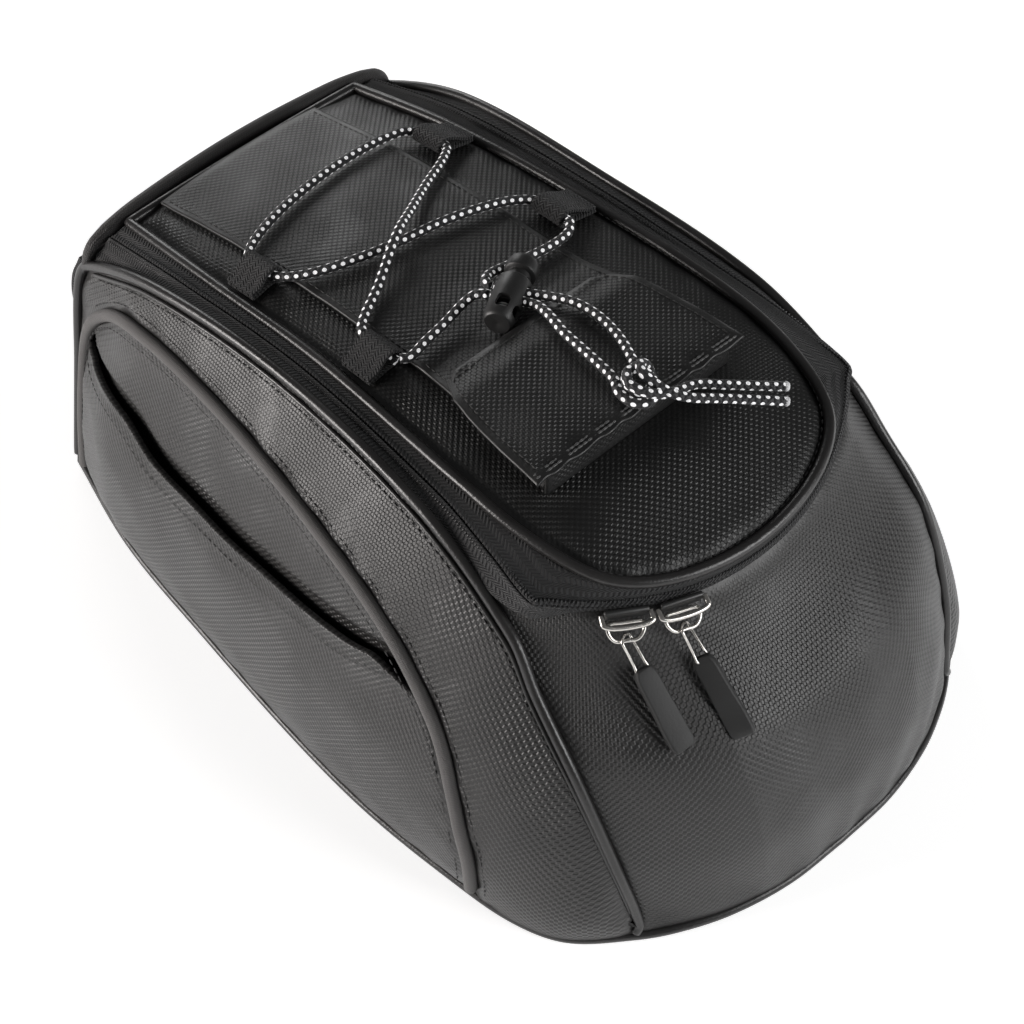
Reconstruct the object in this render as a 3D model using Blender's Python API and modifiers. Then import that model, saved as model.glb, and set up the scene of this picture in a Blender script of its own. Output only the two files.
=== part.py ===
"""Zipped luggage bag with a rounded nose, a padded lid that opens on its back seam, a laced bungee cord
over a small flap pocket, slip pockets on both sides and a two-slider zip round the nose.

Frame: +Z up, the nose at -Y, the back and the lid's hinge seam at +Y, the origin at the middle of the
base. Points in the tables are millimetres, and mm() turns them into metres.
"""

import math

import bmesh
import bpy
import numpy as np

MM = 0.001

# Driving dimensions, in millimetres.
PANEL = 2.6  # padded wall: cover, foam and lining sewn as one
SKIN = 1.4  # single cover layer, such as the flap or a tape
WELT_R = 1.9  # black piping sewn into every body seam
LID_WELT_R = 2.0  # piping round the lid
REFLECTIVE_R = 2.4  # grey piping round the side pocket
SEAM_GAP = 0.7  # clearance between a panel's edge and the piping it is sewn to
CORD_R = 1.65  # bungee cord, 3.3 mm across
LID_CROWN = 6.0  # how far the lid's foam rises between its seams
SIDE_BULGE = 11.0  # how far a side wall stands out between its seams
NOSE_BULGE = 8.0
ZIP_R = 100.0  # the zip's arc round the nose
ZIP_CENTRE_Y = -11.0
ZIP_END_DEG = 46.0  # where the arc meets the straight side runs
ZIP_SLOPE = 0.29  # the arc's plane falls this much towards the nose
ZIP_NOSE_Z = 116.0
SLIDER_LEFT_DEG, SLIDER_RIGHT_DEG = -29.3, -19.0  # where the two sliders rest on the arc
HINGE_Y, HINGE_Z = 151.5, 115.4  # the lid turns on its back seam
FOLD_Y, FOLD_Z = -64.5, 153.2  # the flap turns on the pouch's front fold
SLEEVE_MIDDLE_X, SLEEVE_HALF = -5.0, 36.0  # flat sleeve down the lid, under the cord
MIDDLE_Y = 2.35  # what centres the bag's length on the origin

# Seams, right-hand side, from the back to the nose; the left side mirrors them.
LID_SEAM = [(53, 149, 110), (56.5, 99, 121.5), (58, 37, 131), (60.7, -32, 134), (59, -66, 131.5),
            (50, -92, 127.3), (30, -105, 124), (0, -110, 122.5)]
ZIP_SIDE = [(61.5, 149, 108), (64.2, 103, 121.5), (64.7, 37, 131.3), (68, -32, 132), (70.8, -62, 128.5)]
BODY_SEAM = [(71, 153, 98), (71.5, 107, 120.5), (71, 37, 131), (75, -35, 129.5), (78, -78, 110.5),
             (80.5, -92, 95), (82.5, -113, 72), (80.5, -130, 38), (76.5, -138.5, 8)]
BACK_EDGE = [(71, 153, 98), (73.5, 156.5, 88), (79, 157.5, 50), (86, 157.5, 8)]
BASE_SIDE = [(88, 157.5, 0), (100, 110, 0), (106, 55, 0), (110.5, 0, 0), (111.5, -40, 0),
             (108.5, -80, 0), (104.5, -106, 0), (96.5, -124, 0), (79, -139, 0)]
BASE_NOSE = [(79, -139, 0), (66, -147, 0), (48, -154.5, 0), (25, -159.5, 0), (0, -160.5, 0)]
BINDING = [(65, 153.5, 106.2), (45, 154.8, 109.6), (0, 155.3, 112)]

# The pocket arch and the pocket's mouth, as (share from back to front, share from seam to base).
ARCH = [(0.03, 0.955), (0.03, 0.54), (0.032, 0.32), (0.05, 0.19), (0.085, 0.14), (0.156, 0.14), (0.25, 0.172),
        (0.35, 0.212), (0.45, 0.25), (0.54, 0.285), (0.61, 0.325), (0.67, 0.385), (0.715, 0.465),
        (0.755, 0.59), (0.785, 0.74), (0.806, 0.955)]
MOUTH = [(0.045, 0.31), (0.069, 0.375), (0.156, 0.43), (0.219, 0.495), (0.306, 0.515), (0.394, 0.513),
         (0.469, 0.49), (0.537, 0.45), (0.575, 0.40), (0.596, 0.36)]
POCKET_DEPTH = 9.0  # how far the pocket's back wall is set in behind the mouth

# The four webbing loops: the cord's centre line in x, the loop's middle in y, and its sewn end in x.
LOOPS = {"front_left": (-44.6, 21.0, -55.2), "rear_left": (-44.6, 82.5, -54.6),
         "front_right": (41.0, 29.5, 55.0), "rear_right": (41.0, 91.5, 54.2)}
LOOP_WIDE = 14.0
LOOP_R = 2.85  # from the cord's centre to the middle of the webbing
CORD_H = 4.3  # the cord's centre over the cover, inside a loop

# The laced cord over the lid, as (x, y, height of its centre over the lid's cover).
LACING = [(-44.6, 12.8, 4.3), (-44.6, 21, 4.3), (-44.6, 28.6, 4.3), (-41.4, 33.6, 4.5), (-27, 42, 4.8),
          (-9, 53, 9.0), (5, 61.5, 6.6), (20, 70.5, 4.8), (34, 78, 4.5), (41, 83.8, 4.3), (41, 87.5, 4.3),
          (41, 91.5, 4.3), (41, 95.5, 4.3), (41, 99.0, 4.3), (36, 103.2, 4.6), (18, 104.4, 4.6), (-2, 103, 4.6),
          (-22, 99.8, 4.6), (-38, 95, 4.5), (-44.6, 89.8, 4.3), (-44.6, 82.5, 4.3), (-44.6, 75.2, 4.3),
          (-39, 67.5, 4.4), (-28, 60.5, 4.6), (-9, 53.6, 4.6), (8, 50.5, 4.6), (22, 46.8, 4.8),
          (34, 42.6, 4.5), (41, 36.8, 4.3), (41, 29.5, 4.3), (41, 22, 4.3)]

# The cord lock lies across the sleeve; its foot is on the left, its button on the right.
LOCK_MIDDLE = (-3.2, 2.6, 149.5)
LOCK_AXIS = (0.878, 0.479, 0.0)
LOCK_R = 6.2
BUTTON_TRAVEL = 3.0

# The cord beyond the lock, as points: two leads to it, two tails over the flap, two ends past the knot.
LEAD_LEFT = [(-44.3, 11.2, 141.8), (-41.5, 9.4, 141.9), (-34, 10.4, 142.9), (-25, 11.2, 144.2),
             (-17, 12.0, 146.2), (-12.4, 11.0, 148.6), (-10.2, 9.0, 149.5), (-9.1, 7.0, 149.6)]
LEAD_RIGHT = [(40.6, 20.4, 141.0), (36, 16.4, 141.2), (27, 14.8, 142.4), (17, 15.2, 143.6), (7, 16.0, 145.2),
              (-0.6, 15.6, 147.2), (-4.8, 13.2, 149.0), (-6.2, 10.6, 149.6), (-5.6, 9.2, 149.6)]
TAIL_LEFT = [(-8.7, 6.3, 149.6), (-5.9, 1.1, 149.8), (-2.9, -4.4, 150.6), (-2.6, -9.6, 152.6), (-4.2, -17, 154.6),
             (-6.2, -25, 155.2), (-7.4, -35, 155.9), (-8.6, -45, 156.6), (-9.4, -52.0, 157.4)]
TAIL_RIGHT = [(-5.2, 8.4, 149.6), (-2.4, 3.1, 149.8), (0.7, -2.6, 150.6), (3.0, -9.2, 152.6), (5.6, -17, 154.4),
              (6.8, -25, 155.0), (6.2, -33, 155.6), (3.2, -41, 156.4), (-1.4, -48, 157.2), (-4.4, -52.0, 157.6)]
KNOT = [(-9.2, -54.0, 158.6), (-11.6, -58.0, 159.4), (-12.0, -63.0, 158.2), (-8.4, -66.4, 156.8),
        (-3.2, -65.2, 157.0), (-2.4, -60.4, 160.0), (-5.4, -57.0, 161.6), (-8.6, -60.6, 163.0),
        (-7.2, -65.6, 161.8), (-1.6, -68.2, 159.4)]
END_UPPER = [(0.6, -68.4, 157.6), (8.6, -69.6, 155.6), (16.0, -74.6, 153.4), (25.0, -80.4, 150.8),
             (34.6, -86.4, 148.0)]
END_LOWER = [(-1.6, -72.0, 157.8), (5.6, -73.6, 155.2), (13.0, -78.4, 152.4), (21.6, -84.0, 149.4),
             (31.0, -90.0, 146.4)]

# The flap over the pouch: its outline over the lid, as half widths about FLAP_MIDDLE_X.
FLAP_MIDDLE_X = -9.0
FLAP_BACK_Y = -9.6
PLATE_OUT, BAR_OUT, RING_OUT = 2.6, 7.4, 4.7  # how far the slider's pieces stand off the teeth
PULL_END = {"left": (-53.6, -132.4, 81.0), "right": (-35.2, -139.2, 81.2)}  # where each tab's lower end hangs

COLOURS = {
    "cover": ((0.030, 0.029, 0.029, 1), 0.42, 0.0),
    "lining": ((0.020, 0.020, 0.022, 1), 0.85, 0.0),
    "welt": ((0.022, 0.021, 0.021, 1), 0.35, 0.0),
    "reflective": ((0.14, 0.13, 0.125, 1), 0.55, 0.0),
    "tape": ((0.014, 0.014, 0.015, 1), 0.75, 0.0),
    "webbing": ((0.012, 0.012, 0.013, 1), 0.80, 0.0),
    "cord": ((0.020, 0.020, 0.024, 1), 0.70, 0.0),
    "plastic": ((0.018, 0.018, 0.019, 1), 0.50, 0.0),
    "rubber": ((0.016, 0.016, 0.017, 1), 0.60, 0.0),
    "nickel": ((0.62, 0.60, 0.57, 1), 0.22, 1.0),
    "steel": ((0.50, 0.50, 0.50, 1), 0.30, 1.0),
    "board": ((0.05, 0.05, 0.05, 1), 0.70, 0.0),
}


def clear_scene():
    for old in list(bpy.data.objects):
        bpy.data.objects.remove(old, do_unlink=True)


def mm(point):
    """A point of the tables, in metres about the middle of the base."""
    return (point[0] * MM, (point[1] - MIDDLE_Y) * MM, point[2] * MM)


def material(name):
    found = bpy.data.materials.get(name)
    if found:
        return found
    colour, roughness, metallic = COLOURS[name]
    made = bpy.data.materials.new(name)
    made.use_nodes = True
    shader = made.node_tree.nodes["Principled BSDF"]
    shader.inputs["Base Color"].default_value = colour
    shader.inputs["Roughness"].default_value = roughness
    shader.inputs["Metallic"].default_value = metallic
    return made


# Curves and surfaces, in millimetres.

def smooth(points, count):
    """A smooth curve through the points, as count evenly spaced points."""
    p = np.array(points, float)
    steps = np.linalg.norm(np.diff(p, axis=0), axis=1)
    t = np.concatenate([[0], np.cumsum(steps)])
    slope = np.empty_like(p)
    slope[1:-1] = (p[2:] - p[:-2]) / (t[2:] - t[:-2])[:, None]
    slope[0], slope[-1] = (p[1] - p[0]) / steps[0], (p[-1] - p[-2]) / steps[-1]
    x = np.linspace(0, t[-1], 600)
    k = np.clip(np.searchsorted(t, x, side="right") - 1, 0, len(steps) - 1)
    h, s = steps[k][:, None], ((x - t[k]) / steps[k])[:, None]
    fine = ((2 * s**3 - 3 * s**2 + 1) * p[k] + (s**3 - 2 * s**2 + s) * h * slope[k]
            + (3 * s**2 - 2 * s**3) * p[k + 1] + (s**3 - s**2) * h * slope[k + 1])
    run = np.concatenate([[0], np.cumsum(np.linalg.norm(np.diff(fine, axis=0), axis=1))])
    even = np.linspace(0, run[-1], count)
    return np.stack([np.interp(even, run, fine[:, axis]) for axis in range(p.shape[1])], axis=1)


def along(curve, share):
    """The point at this share, 0 to 1, of an evenly spaced curve."""
    x = min(max(share, 0.0), 1.0) * (len(curve) - 1)
    k = min(int(x), len(curve) - 2)
    return curve[k] + (curve[k + 1] - curve[k]) * (x - k)


def mirrored(points):
    return [(-p[0], *p[1:]) for p in points]


def round_the_nose(half):
    """A right-hand half from back to nose, made whole: back left, nose, back right."""
    return mirrored(half) + list(half[:-1])[::-1]


def inset(curve, towards, distance):
    """Each point of curve moved this far towards the matching point of another curve."""
    step = towards - curve
    return curve + step / np.linalg.norm(step, axis=1)[:, None] * distance


def patch(near, far, left, right):
    """A surface over four edges: near and far run along s, left and right along t, 0 to 1."""
    corner = {(s, t): (far if t else near)(s) for s in (0, 1) for t in (0, 1)}

    def place(s, t):
        return ((1 - t) * near(s) + t * far(s) + (1 - s) * left(t) + s * right(t)
                - (1 - s) * (1 - t) * corner[0, 0] - s * (1 - t) * corner[1, 0]
                - (1 - s) * t * corner[0, 1] - s * t * corner[1, 1])
    return place


def ease(x):
    x = min(max(x, 0.0), 1.0)
    return x * x * (3 - 2 * x)


# The lid's cover: its seam gives the height at each station, and the foam crowns it in between.

LID_HALF = smooth(LID_SEAM, 200)
LID_STATIONS = LID_HALF[::-1]


def lid_height(x, y):
    wide = np.interp(y, LID_STATIONS[:, 1], LID_STATIONS[:, 0])
    seam = np.interp(y, LID_STATIONS[:, 1], LID_STATIONS[:, 2])
    crown = LID_CROWN * ease((y + 111) / 40) * (0.75 + 0.25 * ease((150 - y) / 60))
    return seam + crown * (1 - min(1.0, abs(x) / max(wide, 5.0)) ** 2)


def zip_arc(degrees, out=0.0, up=0.0):
    """A point on the zip's arc, moved out from its centre and up along the arc's axis."""
    turn, tilt = math.radians(degrees), math.atan(ZIP_SLOPE)
    radial = np.array([math.sin(turn), -math.cos(turn), -math.cos(turn) * ZIP_SLOPE])
    axis = np.array([0, -math.sin(tilt), math.cos(tilt)])
    centre = np.array([0, ZIP_CENTRE_Y, ZIP_NOSE_Z + ZIP_SLOPE * (ZIP_CENTRE_Y + 111)])
    return centre + radial * (ZIP_R + out) + axis * up


# Building blocks.

def add(obj, parts, material_name, pivot=None):
    """Puts an object in the collection, on its joint's empty where it has one."""
    parts.objects.link(obj)
    obj.data.materials.append(material(material_name))
    if obj.type == "MESH":
        obj.data.shade_smooth()
        obj.data.set_sharp_from_angle(angle=math.radians(40))
    if pivot:
        obj.parent = pivot
        obj.matrix_parent_inverse = pivot.matrix_world.inverted()
    return obj


def sheet(name, place, across, rows, thickness, parts, material_name, pivot=None, inner=(0, 0, 60)):
    """A grid of points placed by place(s, t), thickened by Solidify away from its outer face."""
    bm = bmesh.new()
    bmesh.ops.create_grid(bm, x_segments=across, y_segments=rows, size=0.5)
    for v in bm.verts:
        v.co = mm(place(v.co.x + 0.5, v.co.y + 0.5))
    bm.normal_update()
    middle = np.array(mm(inner))
    facing = sum(f.calc_area() * f.normal.dot(f.calc_center_median() - type(f.normal)(middle))
                 for f in bm.faces)
    if facing < 0:
        bmesh.ops.reverse_faces(bm, faces=bm.faces)
    mesh = bpy.data.meshes.new(name)
    bm.to_mesh(mesh)
    bm.free()
    obj = add(bpy.data.objects.new(name, mesh), parts, material_name, pivot)
    wall = obj.modifiers.new("Wall", "SOLIDIFY")
    wall.thickness = thickness * MM
    wall.offset = -1
    return obj


def tube(name, points, radius, parts, material_name, pivot=None, sides=2, closed=False):
    curve = bpy.data.curves.new(name, "CURVE")
    curve.dimensions = "3D"
    curve.bevel_depth = radius * MM
    curve.bevel_resolution = sides
    curve.use_fill_caps = not closed
    spline = curve.splines.new("POLY")
    spline.points.add(len(points) - 1)
    for target, point in zip(spline.points, points):
        target.co = (*mm(point), 1)
    spline.use_cyclic_u = closed
    return add(bpy.data.objects.new(name, curve), parts, material_name, pivot)


def block(name, middle, size, axes, parts, material_name, pivot=None, bevel=0.4, taper=None):
    """A bevelled box on three axes; taper narrows its +Z end across X."""
    bm = bmesh.new()
    bmesh.ops.create_cube(bm, size=1)
    frame = np.array(axes, float)
    for v in bm.verts:
        narrow = taper if taper and v.co.z > 0 else 1
        local = np.array([v.co.x * size[0] * narrow, v.co.y * size[1], v.co.z * size[2]])
        v.co = mm(np.array(middle) + local @ frame)
    bmesh.ops.recalc_face_normals(bm, faces=bm.faces)
    bmesh.ops.bevel(bm, geom=bm.edges[:], offset=bevel * MM, segments=1, profile=0.5,
                    affect="EDGES", material=-1)
    bmesh.ops.recalc_face_normals(bm, faces=bm.faces)
    mesh = bpy.data.meshes.new(name)
    bm.to_mesh(mesh)
    bm.free()
    return add(bpy.data.objects.new(name, mesh), parts, material_name, pivot)


def joint_empty(name, at, parts):
    empty = bpy.data.objects.new(name, None)
    parts.objects.link(empty)
    empty.location = mm(at)
    bpy.context.view_layer.update()
    return empty


# Base, sides and pockets.

def base_outline(z, inward, count):
    """The base's outline at a height, pulled in by a distance, anticlockwise from the back right."""
    half = smooth(BASE_SIDE[:-1] + BASE_NOSE, count)
    ring = np.concatenate([half, (half * [-1, 1, 1])[::-1][1:]])
    steps = np.array([[0, np.clip(p[1], -70, 90), 0] for p in ring]) - ring
    return ring + steps / np.linalg.norm(steps, axis=1)[:, None] * inward + [0, 0, z]


def add_base(parts):
    for name, inward, low, high, kind in (("base_panel", 4.4, 0.0, 2.6, "tape"),
                                          ("base_stiffener", 9.0, 3.0, 5.0, "board")):
        outline = bpy.data.curves.new(name, "CURVE")
        outline.dimensions = "2D"
        outline.fill_mode = "BOTH"
        outline.extrude = (high - low) / 2 * MM
        ring = base_outline(0, inward, 19)
        spline = outline.splines.new("POLY")
        spline.points.add(len(ring) - 1)
        for target, point in zip(spline.points, ring):
            target.co = (*mm(point)[:2], 0, 1)
        spline.use_cyclic_u = True
        obj = add(bpy.data.objects.new(name, outline), parts, kind)
        obj.location.z = (high + low) / 2 * MM
    tube("base_piping", base_outline(2.1, 1.4, 26), 1.8, parts, "welt", sides=0, closed=True)


SIDE_TOP = smooth(BODY_SEAM, 160)
SIDE_FOOT = smooth(BASE_SIDE, 160)


def side_wall(u, v, proud=0.0):
    """A point on the right-hand wall: u from back to front, v from the body seam to the base."""
    top, foot = along(SIDE_TOP, u), along(SIDE_FOOT, u) + [0, 0, 4.6]
    top = top + (foot - top) / np.linalg.norm(foot - top) * (WELT_R + SEAM_GAP + 0.3)
    before = along(SIDE_TOP, u - 0.03) + along(SIDE_FOOT, u - 0.03)
    after = along(SIDE_TOP, u + 0.03) + along(SIDE_FOOT, u + 0.03)
    out = np.cross(foot - top, after - before)
    out = out / np.linalg.norm(out) * (1 if out[0] > 0 else -1)
    swell = SIDE_BULGE * 4 * v * (1 - v) * min(1, np.linalg.norm(foot - top) / 90)
    swell *= 0.3 + 0.7 * ease(u / 0.15)
    return top * (1 - v) + foot * v + out * (swell + proud)


def beside(line, distance):
    """A line on the side wall, moved sideways over the wall by this many millimetres."""
    step = 0.01
    scale = np.array([[np.linalg.norm(side_wall(u + step, v) - side_wall(u - step, v)),
                       np.linalg.norm(side_wall(u, v + step) - side_wall(u, v - step))]
                      for u, v in np.clip(line, 0.05, 0.95)]) / (2 * step)
    run = np.gradient(line, axis=0) * scale
    run = run / np.linalg.norm(run, axis=1)[:, None]
    return line + np.stack([-run[:, 1], run[:, 0]], axis=1) * distance / scale


def add_side(side, sign, parts):
    """One side: its wall round the arch, the pocket's back and front, and both pipings."""
    scale = np.array([3.1, 1.3])
    arch = smooth(np.array(ARCH) * scale, 120) / scale
    mouth = smooth(np.array(MOUTH) * scale, 60) / scale
    clear = REFLECTIVE_R + SEAM_GAP
    outer, inner = beside(arch, -clear - 0.4), beside(arch, clear)
    crest = int(np.argmin(inner[:, 1]))

    def turned(point):
        return point * [sign, 1, 1]

    def frame_wall(s, t):
        """Round the arch: up behind it, forward over it, and down in front of it."""
        hole = along(outer, np.interp(s, (0, 0.25, 0.75, 1), (0.0, 0.27, 0.74, 1.0)))
        u = np.interp(s, (0, 0.25, 0.75, 1), (0.012, 0.012, 0.98, 0.98))
        v = np.interp(s, (0, 0.25, 0.75, 1), (1, 0, 0, 1))
        uv = np.array([u, v]) * (1 - t) + np.array([max(hole[0], 0.016), hole[1]]) * t
        if s in (0, 1):
            uv[1] = 1
        return turned(side_wall(*uv))

    def span(v):
        """How far back and forward the arch reaches at this height, just inside its piping."""
        return (np.interp(-v, -inner[:crest + 1, 1], inner[:crest + 1, 0]),
                np.interp(v, inner[crest:, 1], inner[crest:, 0]))

    def pocket_back(s, t):
        spread = 0.5 * s + 0.5 * ease(s)
        low, high = span(0.88)
        u = low + 0.022 + (high - low - 0.03) * spread
        v = (np.interp(u, inner[:, 0], inner[:, 1]) + 0.025 * (1 - ease(s / 0.25))) * (1 - t) + 0.9 * t
        deep = POCKET_DEPTH * ease(s / 0.25) * ease((1 - s) / 0.25) * ease(t / 0.5)
        behind = np.interp(u, mouth[:, 0], mouth[:, 1], left=0, right=0)
        return turned(side_wall(u, v, -0.4 - deep - (PANEL + 1.0) * ease((v - behind + 0.06) / 0.04)))

    def pocket_front(s, t):
        start = along(mouth, s)
        v = start[1] * (1 - t) + t
        low, high = span(v)
        u = low + (high - low) * s
        shift = ease(1 - t / 0.35)
        u = min(max(u * (1 - shift) + start[0] * shift, low), high)
        return turned(side_wall(u, v, 1.2 * ease(4 * t) * ease(4 * (1 - t))))

    sheet(f"side_panel_{side}", frame_wall, 36, 3, PANEL, parts, "cover")
    sheet(f"pocket_back_{side}", pocket_back, 16, 5, SKIN, parts, "cover")
    sheet(f"pocket_front_{side}", pocket_front, 14, 5, PANEL, parts, "cover")
    line = [turned(side_wall(u, min(v, 0.955), 0.3)) for u, v in smooth(np.array(ARCH) * scale, 34) / scale]
    tube(f"reflective_piping_{side}", line, REFLECTIVE_R, parts, "reflective", sides=1)
    seam = smooth([turned(np.array(p, float)) for p in BODY_SEAM[::-1] + BACK_EDGE[1:]], 38)
    tube(f"seam_piping_{side}", seam, WELT_R, parts, "welt", sides=1)


# Nose, back and the closure.

ZIP_STATIONS = (46.0, 43.0, 38.0, 30.0, 20.0, 10.0, 0.0)
TAPE_BODY = [(71, 153, 98), (71.5, 103, 121), (71, 37, 131), (75, -32, 129.3), (77.2, -62, 119.5),
             (78.0, -79.0, 112.0), (75.0, -80.6, 118.8)]
TAPE_LID = [(53, 149, 110), (56.3, 103, 120.7), (58, 37, 131), (60.7, -32, 134), (59.2, -62, 132),
            (56.5, -78, 129.4), (54.5, -83.5, 128.6), (49.5, -92.4, 127.2), (40.5, -99.6, 125.3),
            (27.6, -105.8, 123.8), (14, -109.2, 122.8), (0, -110, 122.5)]
NOSE_EDGE = [(70.2, -83.2, 118.4), (73.6, -84.6, 108), (76.2, -93.4, 93), (78.2, -112, 72), (76.6, -129.5, 38),
             (72.5, -138, 6.5)]


def add_nose_and_back(parts):
    arc = [tuple(zip_arc(a, 0.6, -4.6)) for a in np.linspace(ZIP_END_DEG - 0.5, 0, 7)]
    arc[0] = NOSE_EDGE[0]
    top = smooth(mirrored(arc) + arc[:-1][::-1], 100)
    edge = smooth(NOSE_EDGE, 100)
    foot = [(72.5, -138, 6.5)] + [(x, y + 1.2, 4.8) for x, y, _ in BASE_NOSE[1:]]
    foot = smooth(mirrored(foot) + foot[:-1][::-1], 100)
    face = patch(lambda s: along(foot, s), lambda s: along(top, s),
                 lambda t: along(edge, 1 - t) * [-1, 1, 1], lambda t: along(edge, 1 - t))

    def nose(s, t):
        return face(s, t) + np.array([0, -1, 0.25]) * NOSE_BULGE * 4 * t * (1 - t) * min(1, 5 * s * (1 - s))

    def back(s, t):
        x, z = 2 * s - 1, 5.0 + t * (95 + 4 * (1 - (2 * s - 1) ** 2))
        wide = np.interp(z, (5, 30, 60, 88, 104), (82.5, 80.0, 75.0, 70.0, 65.4))
        return np.array([x * wide, 157.6 + 2.5 * 4 * t * (1 - t) * (1 - x * x) - 2.4 * ease((z - 84) / 22), z])

    sheet("nose_panel", nose, 16, 7, PANEL, parts, "cover")
    sheet("back_panel", back, 12, 6, PANEL, parts, "cover")
    tube("back_binding", smooth(mirrored(BINDING) + BINDING[:-1][::-1], 22), 2.9, parts, "reflective")
    strap = [(-68.5, 160.6, 60), (-68.5, 162.4, 66), (-67.8, 165.0, 76), (-66.4, 164.8, 85), (-65.2, 161.6, 93),
             (-65.0, 160.2, 96)]
    strap = smooth(strap, 12)
    sheet("grab_handle", lambda s, t: along(strap, t) + np.array([9.0 * (s - 0.5), 0, 0]), 2, 11, 1.6, parts,
          "webbing", inner=(-71, 140, 80))


def closure(count):
    """The teeth's line round the bag, the way across it to the body, and both tapes' far edges."""
    ways = ((1, 0.05, -0.2), (1, 0, -0.15), (1, 0, -0.1), (1, 0, -0.15), (0.86, -0.1, -0.5))
    half = [(*p, *way, *body, *lid) for p, way, body, lid in zip(ZIP_SIDE, ways, TAPE_BODY, TAPE_LID)]
    up = zip_arc(0, 0, 1) - zip_arc(0)
    for k, degrees in enumerate(ZIP_STATIONS):
        out = zip_arc(degrees, 1) - zip_arc(degrees)
        way = out * (0.1 + 0.45 * ease(degrees / ZIP_END_DEG)) - up
        body = TAPE_BODY[5 + k] if k < 2 else zip_arc(degrees, 0.4, -3.6)
        half.append((*zip_arc(degrees), *way, *body, *TAPE_LID[5 + k]))
    flip = np.array([-1, 1, 1] * 4)
    rows = smooth([flip * p for p in half] + half[:-1][::-1], count)
    line, way, body, lid = (rows[:, k:k + 3] for k in (0, 3, 6, 9))
    return line, way / np.linalg.norm(way, axis=1)[:, None], body, lid


def add_closure(hinge, parts):
    count = 50
    line, across, body, lid = closure(count)
    tube("zip_coil_body", line + across * 1.1, 0.85, parts, "tape", sides=0)
    tube("zip_coil_lid", line - across * 1.1, 0.85, parts, "tape", hinge, sides=0)
    lid_far = inset(lid, line, LID_WELT_R + SEAM_GAP + 0.5)
    at_seam = (line[:, 1] > -84)[:, None]
    body_far = inset(body, line, np.where(at_seam, WELT_R + SEAM_GAP + 0.5, 0.3))
    lid_near, body_near = line - across * 2.55, line + across * 2.55
    for name, near, far, pivot in (("zip_tape_lid", lid_near, lid_far, hinge),
                                   ("zip_tape_body", body_near, body_far, None)):
        sheet(name, lambda s, t, a=near, b=far: along(a, t) * (1 - s) + along(b, t) * s, 1, count - 1, 0.9, parts,
              "tape", pivot, inner=(0, 0, 90))


# The lid and what is on it.

def lid_outline(inward):
    """Four edges of the lid in plan, pulled in by a distance: back, nose, left and right."""
    corner = (51.5, -89.5)
    side = [p[:2] for p in LID_SEAM[:5]] + [corner]
    nose = [corner, (43, -98), (30, -105), (15, -109), (0, -110)]
    side, nose = smooth(side, 80), smooth([(-x, y) for x, y in nose] + nose[:-1][::-1], 80)
    side = side + [-inward, 0]
    out = nose - [0, -40]
    nose = nose - out / np.linalg.norm(out, axis=1)[:, None] * inward
    nose[0], nose[-1] = side[-1] * [-1, 1], side[-1]
    back = np.array([[x, 149 - inward] for x in np.linspace(-side[0][0], side[0][0], 20)])
    side[0] = back[-1]
    return back, nose, side * [-1, 1], side


def over_lid(inward, lift):
    back, nose, left, right = lid_outline(inward)
    plan = patch(lambda s: along(back, s), lambda s: along(nose, s), lambda t: along(left, t),
                 lambda t: along(right, t))

    def place(s, t):
        x, y = plan(s, t)
        return np.array([x, y, lid_height(x, y) + lift])
    return place


def sleeve_lift(y):
    """How far the sleeve's top stands over the lid's cover."""
    return float(np.interp(y, (-40, -22, -10, 2, 14, 26, 150), (12.2, 8.0, 5.4, 3.2, 2.3, 1.9, 1.9)))


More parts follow.
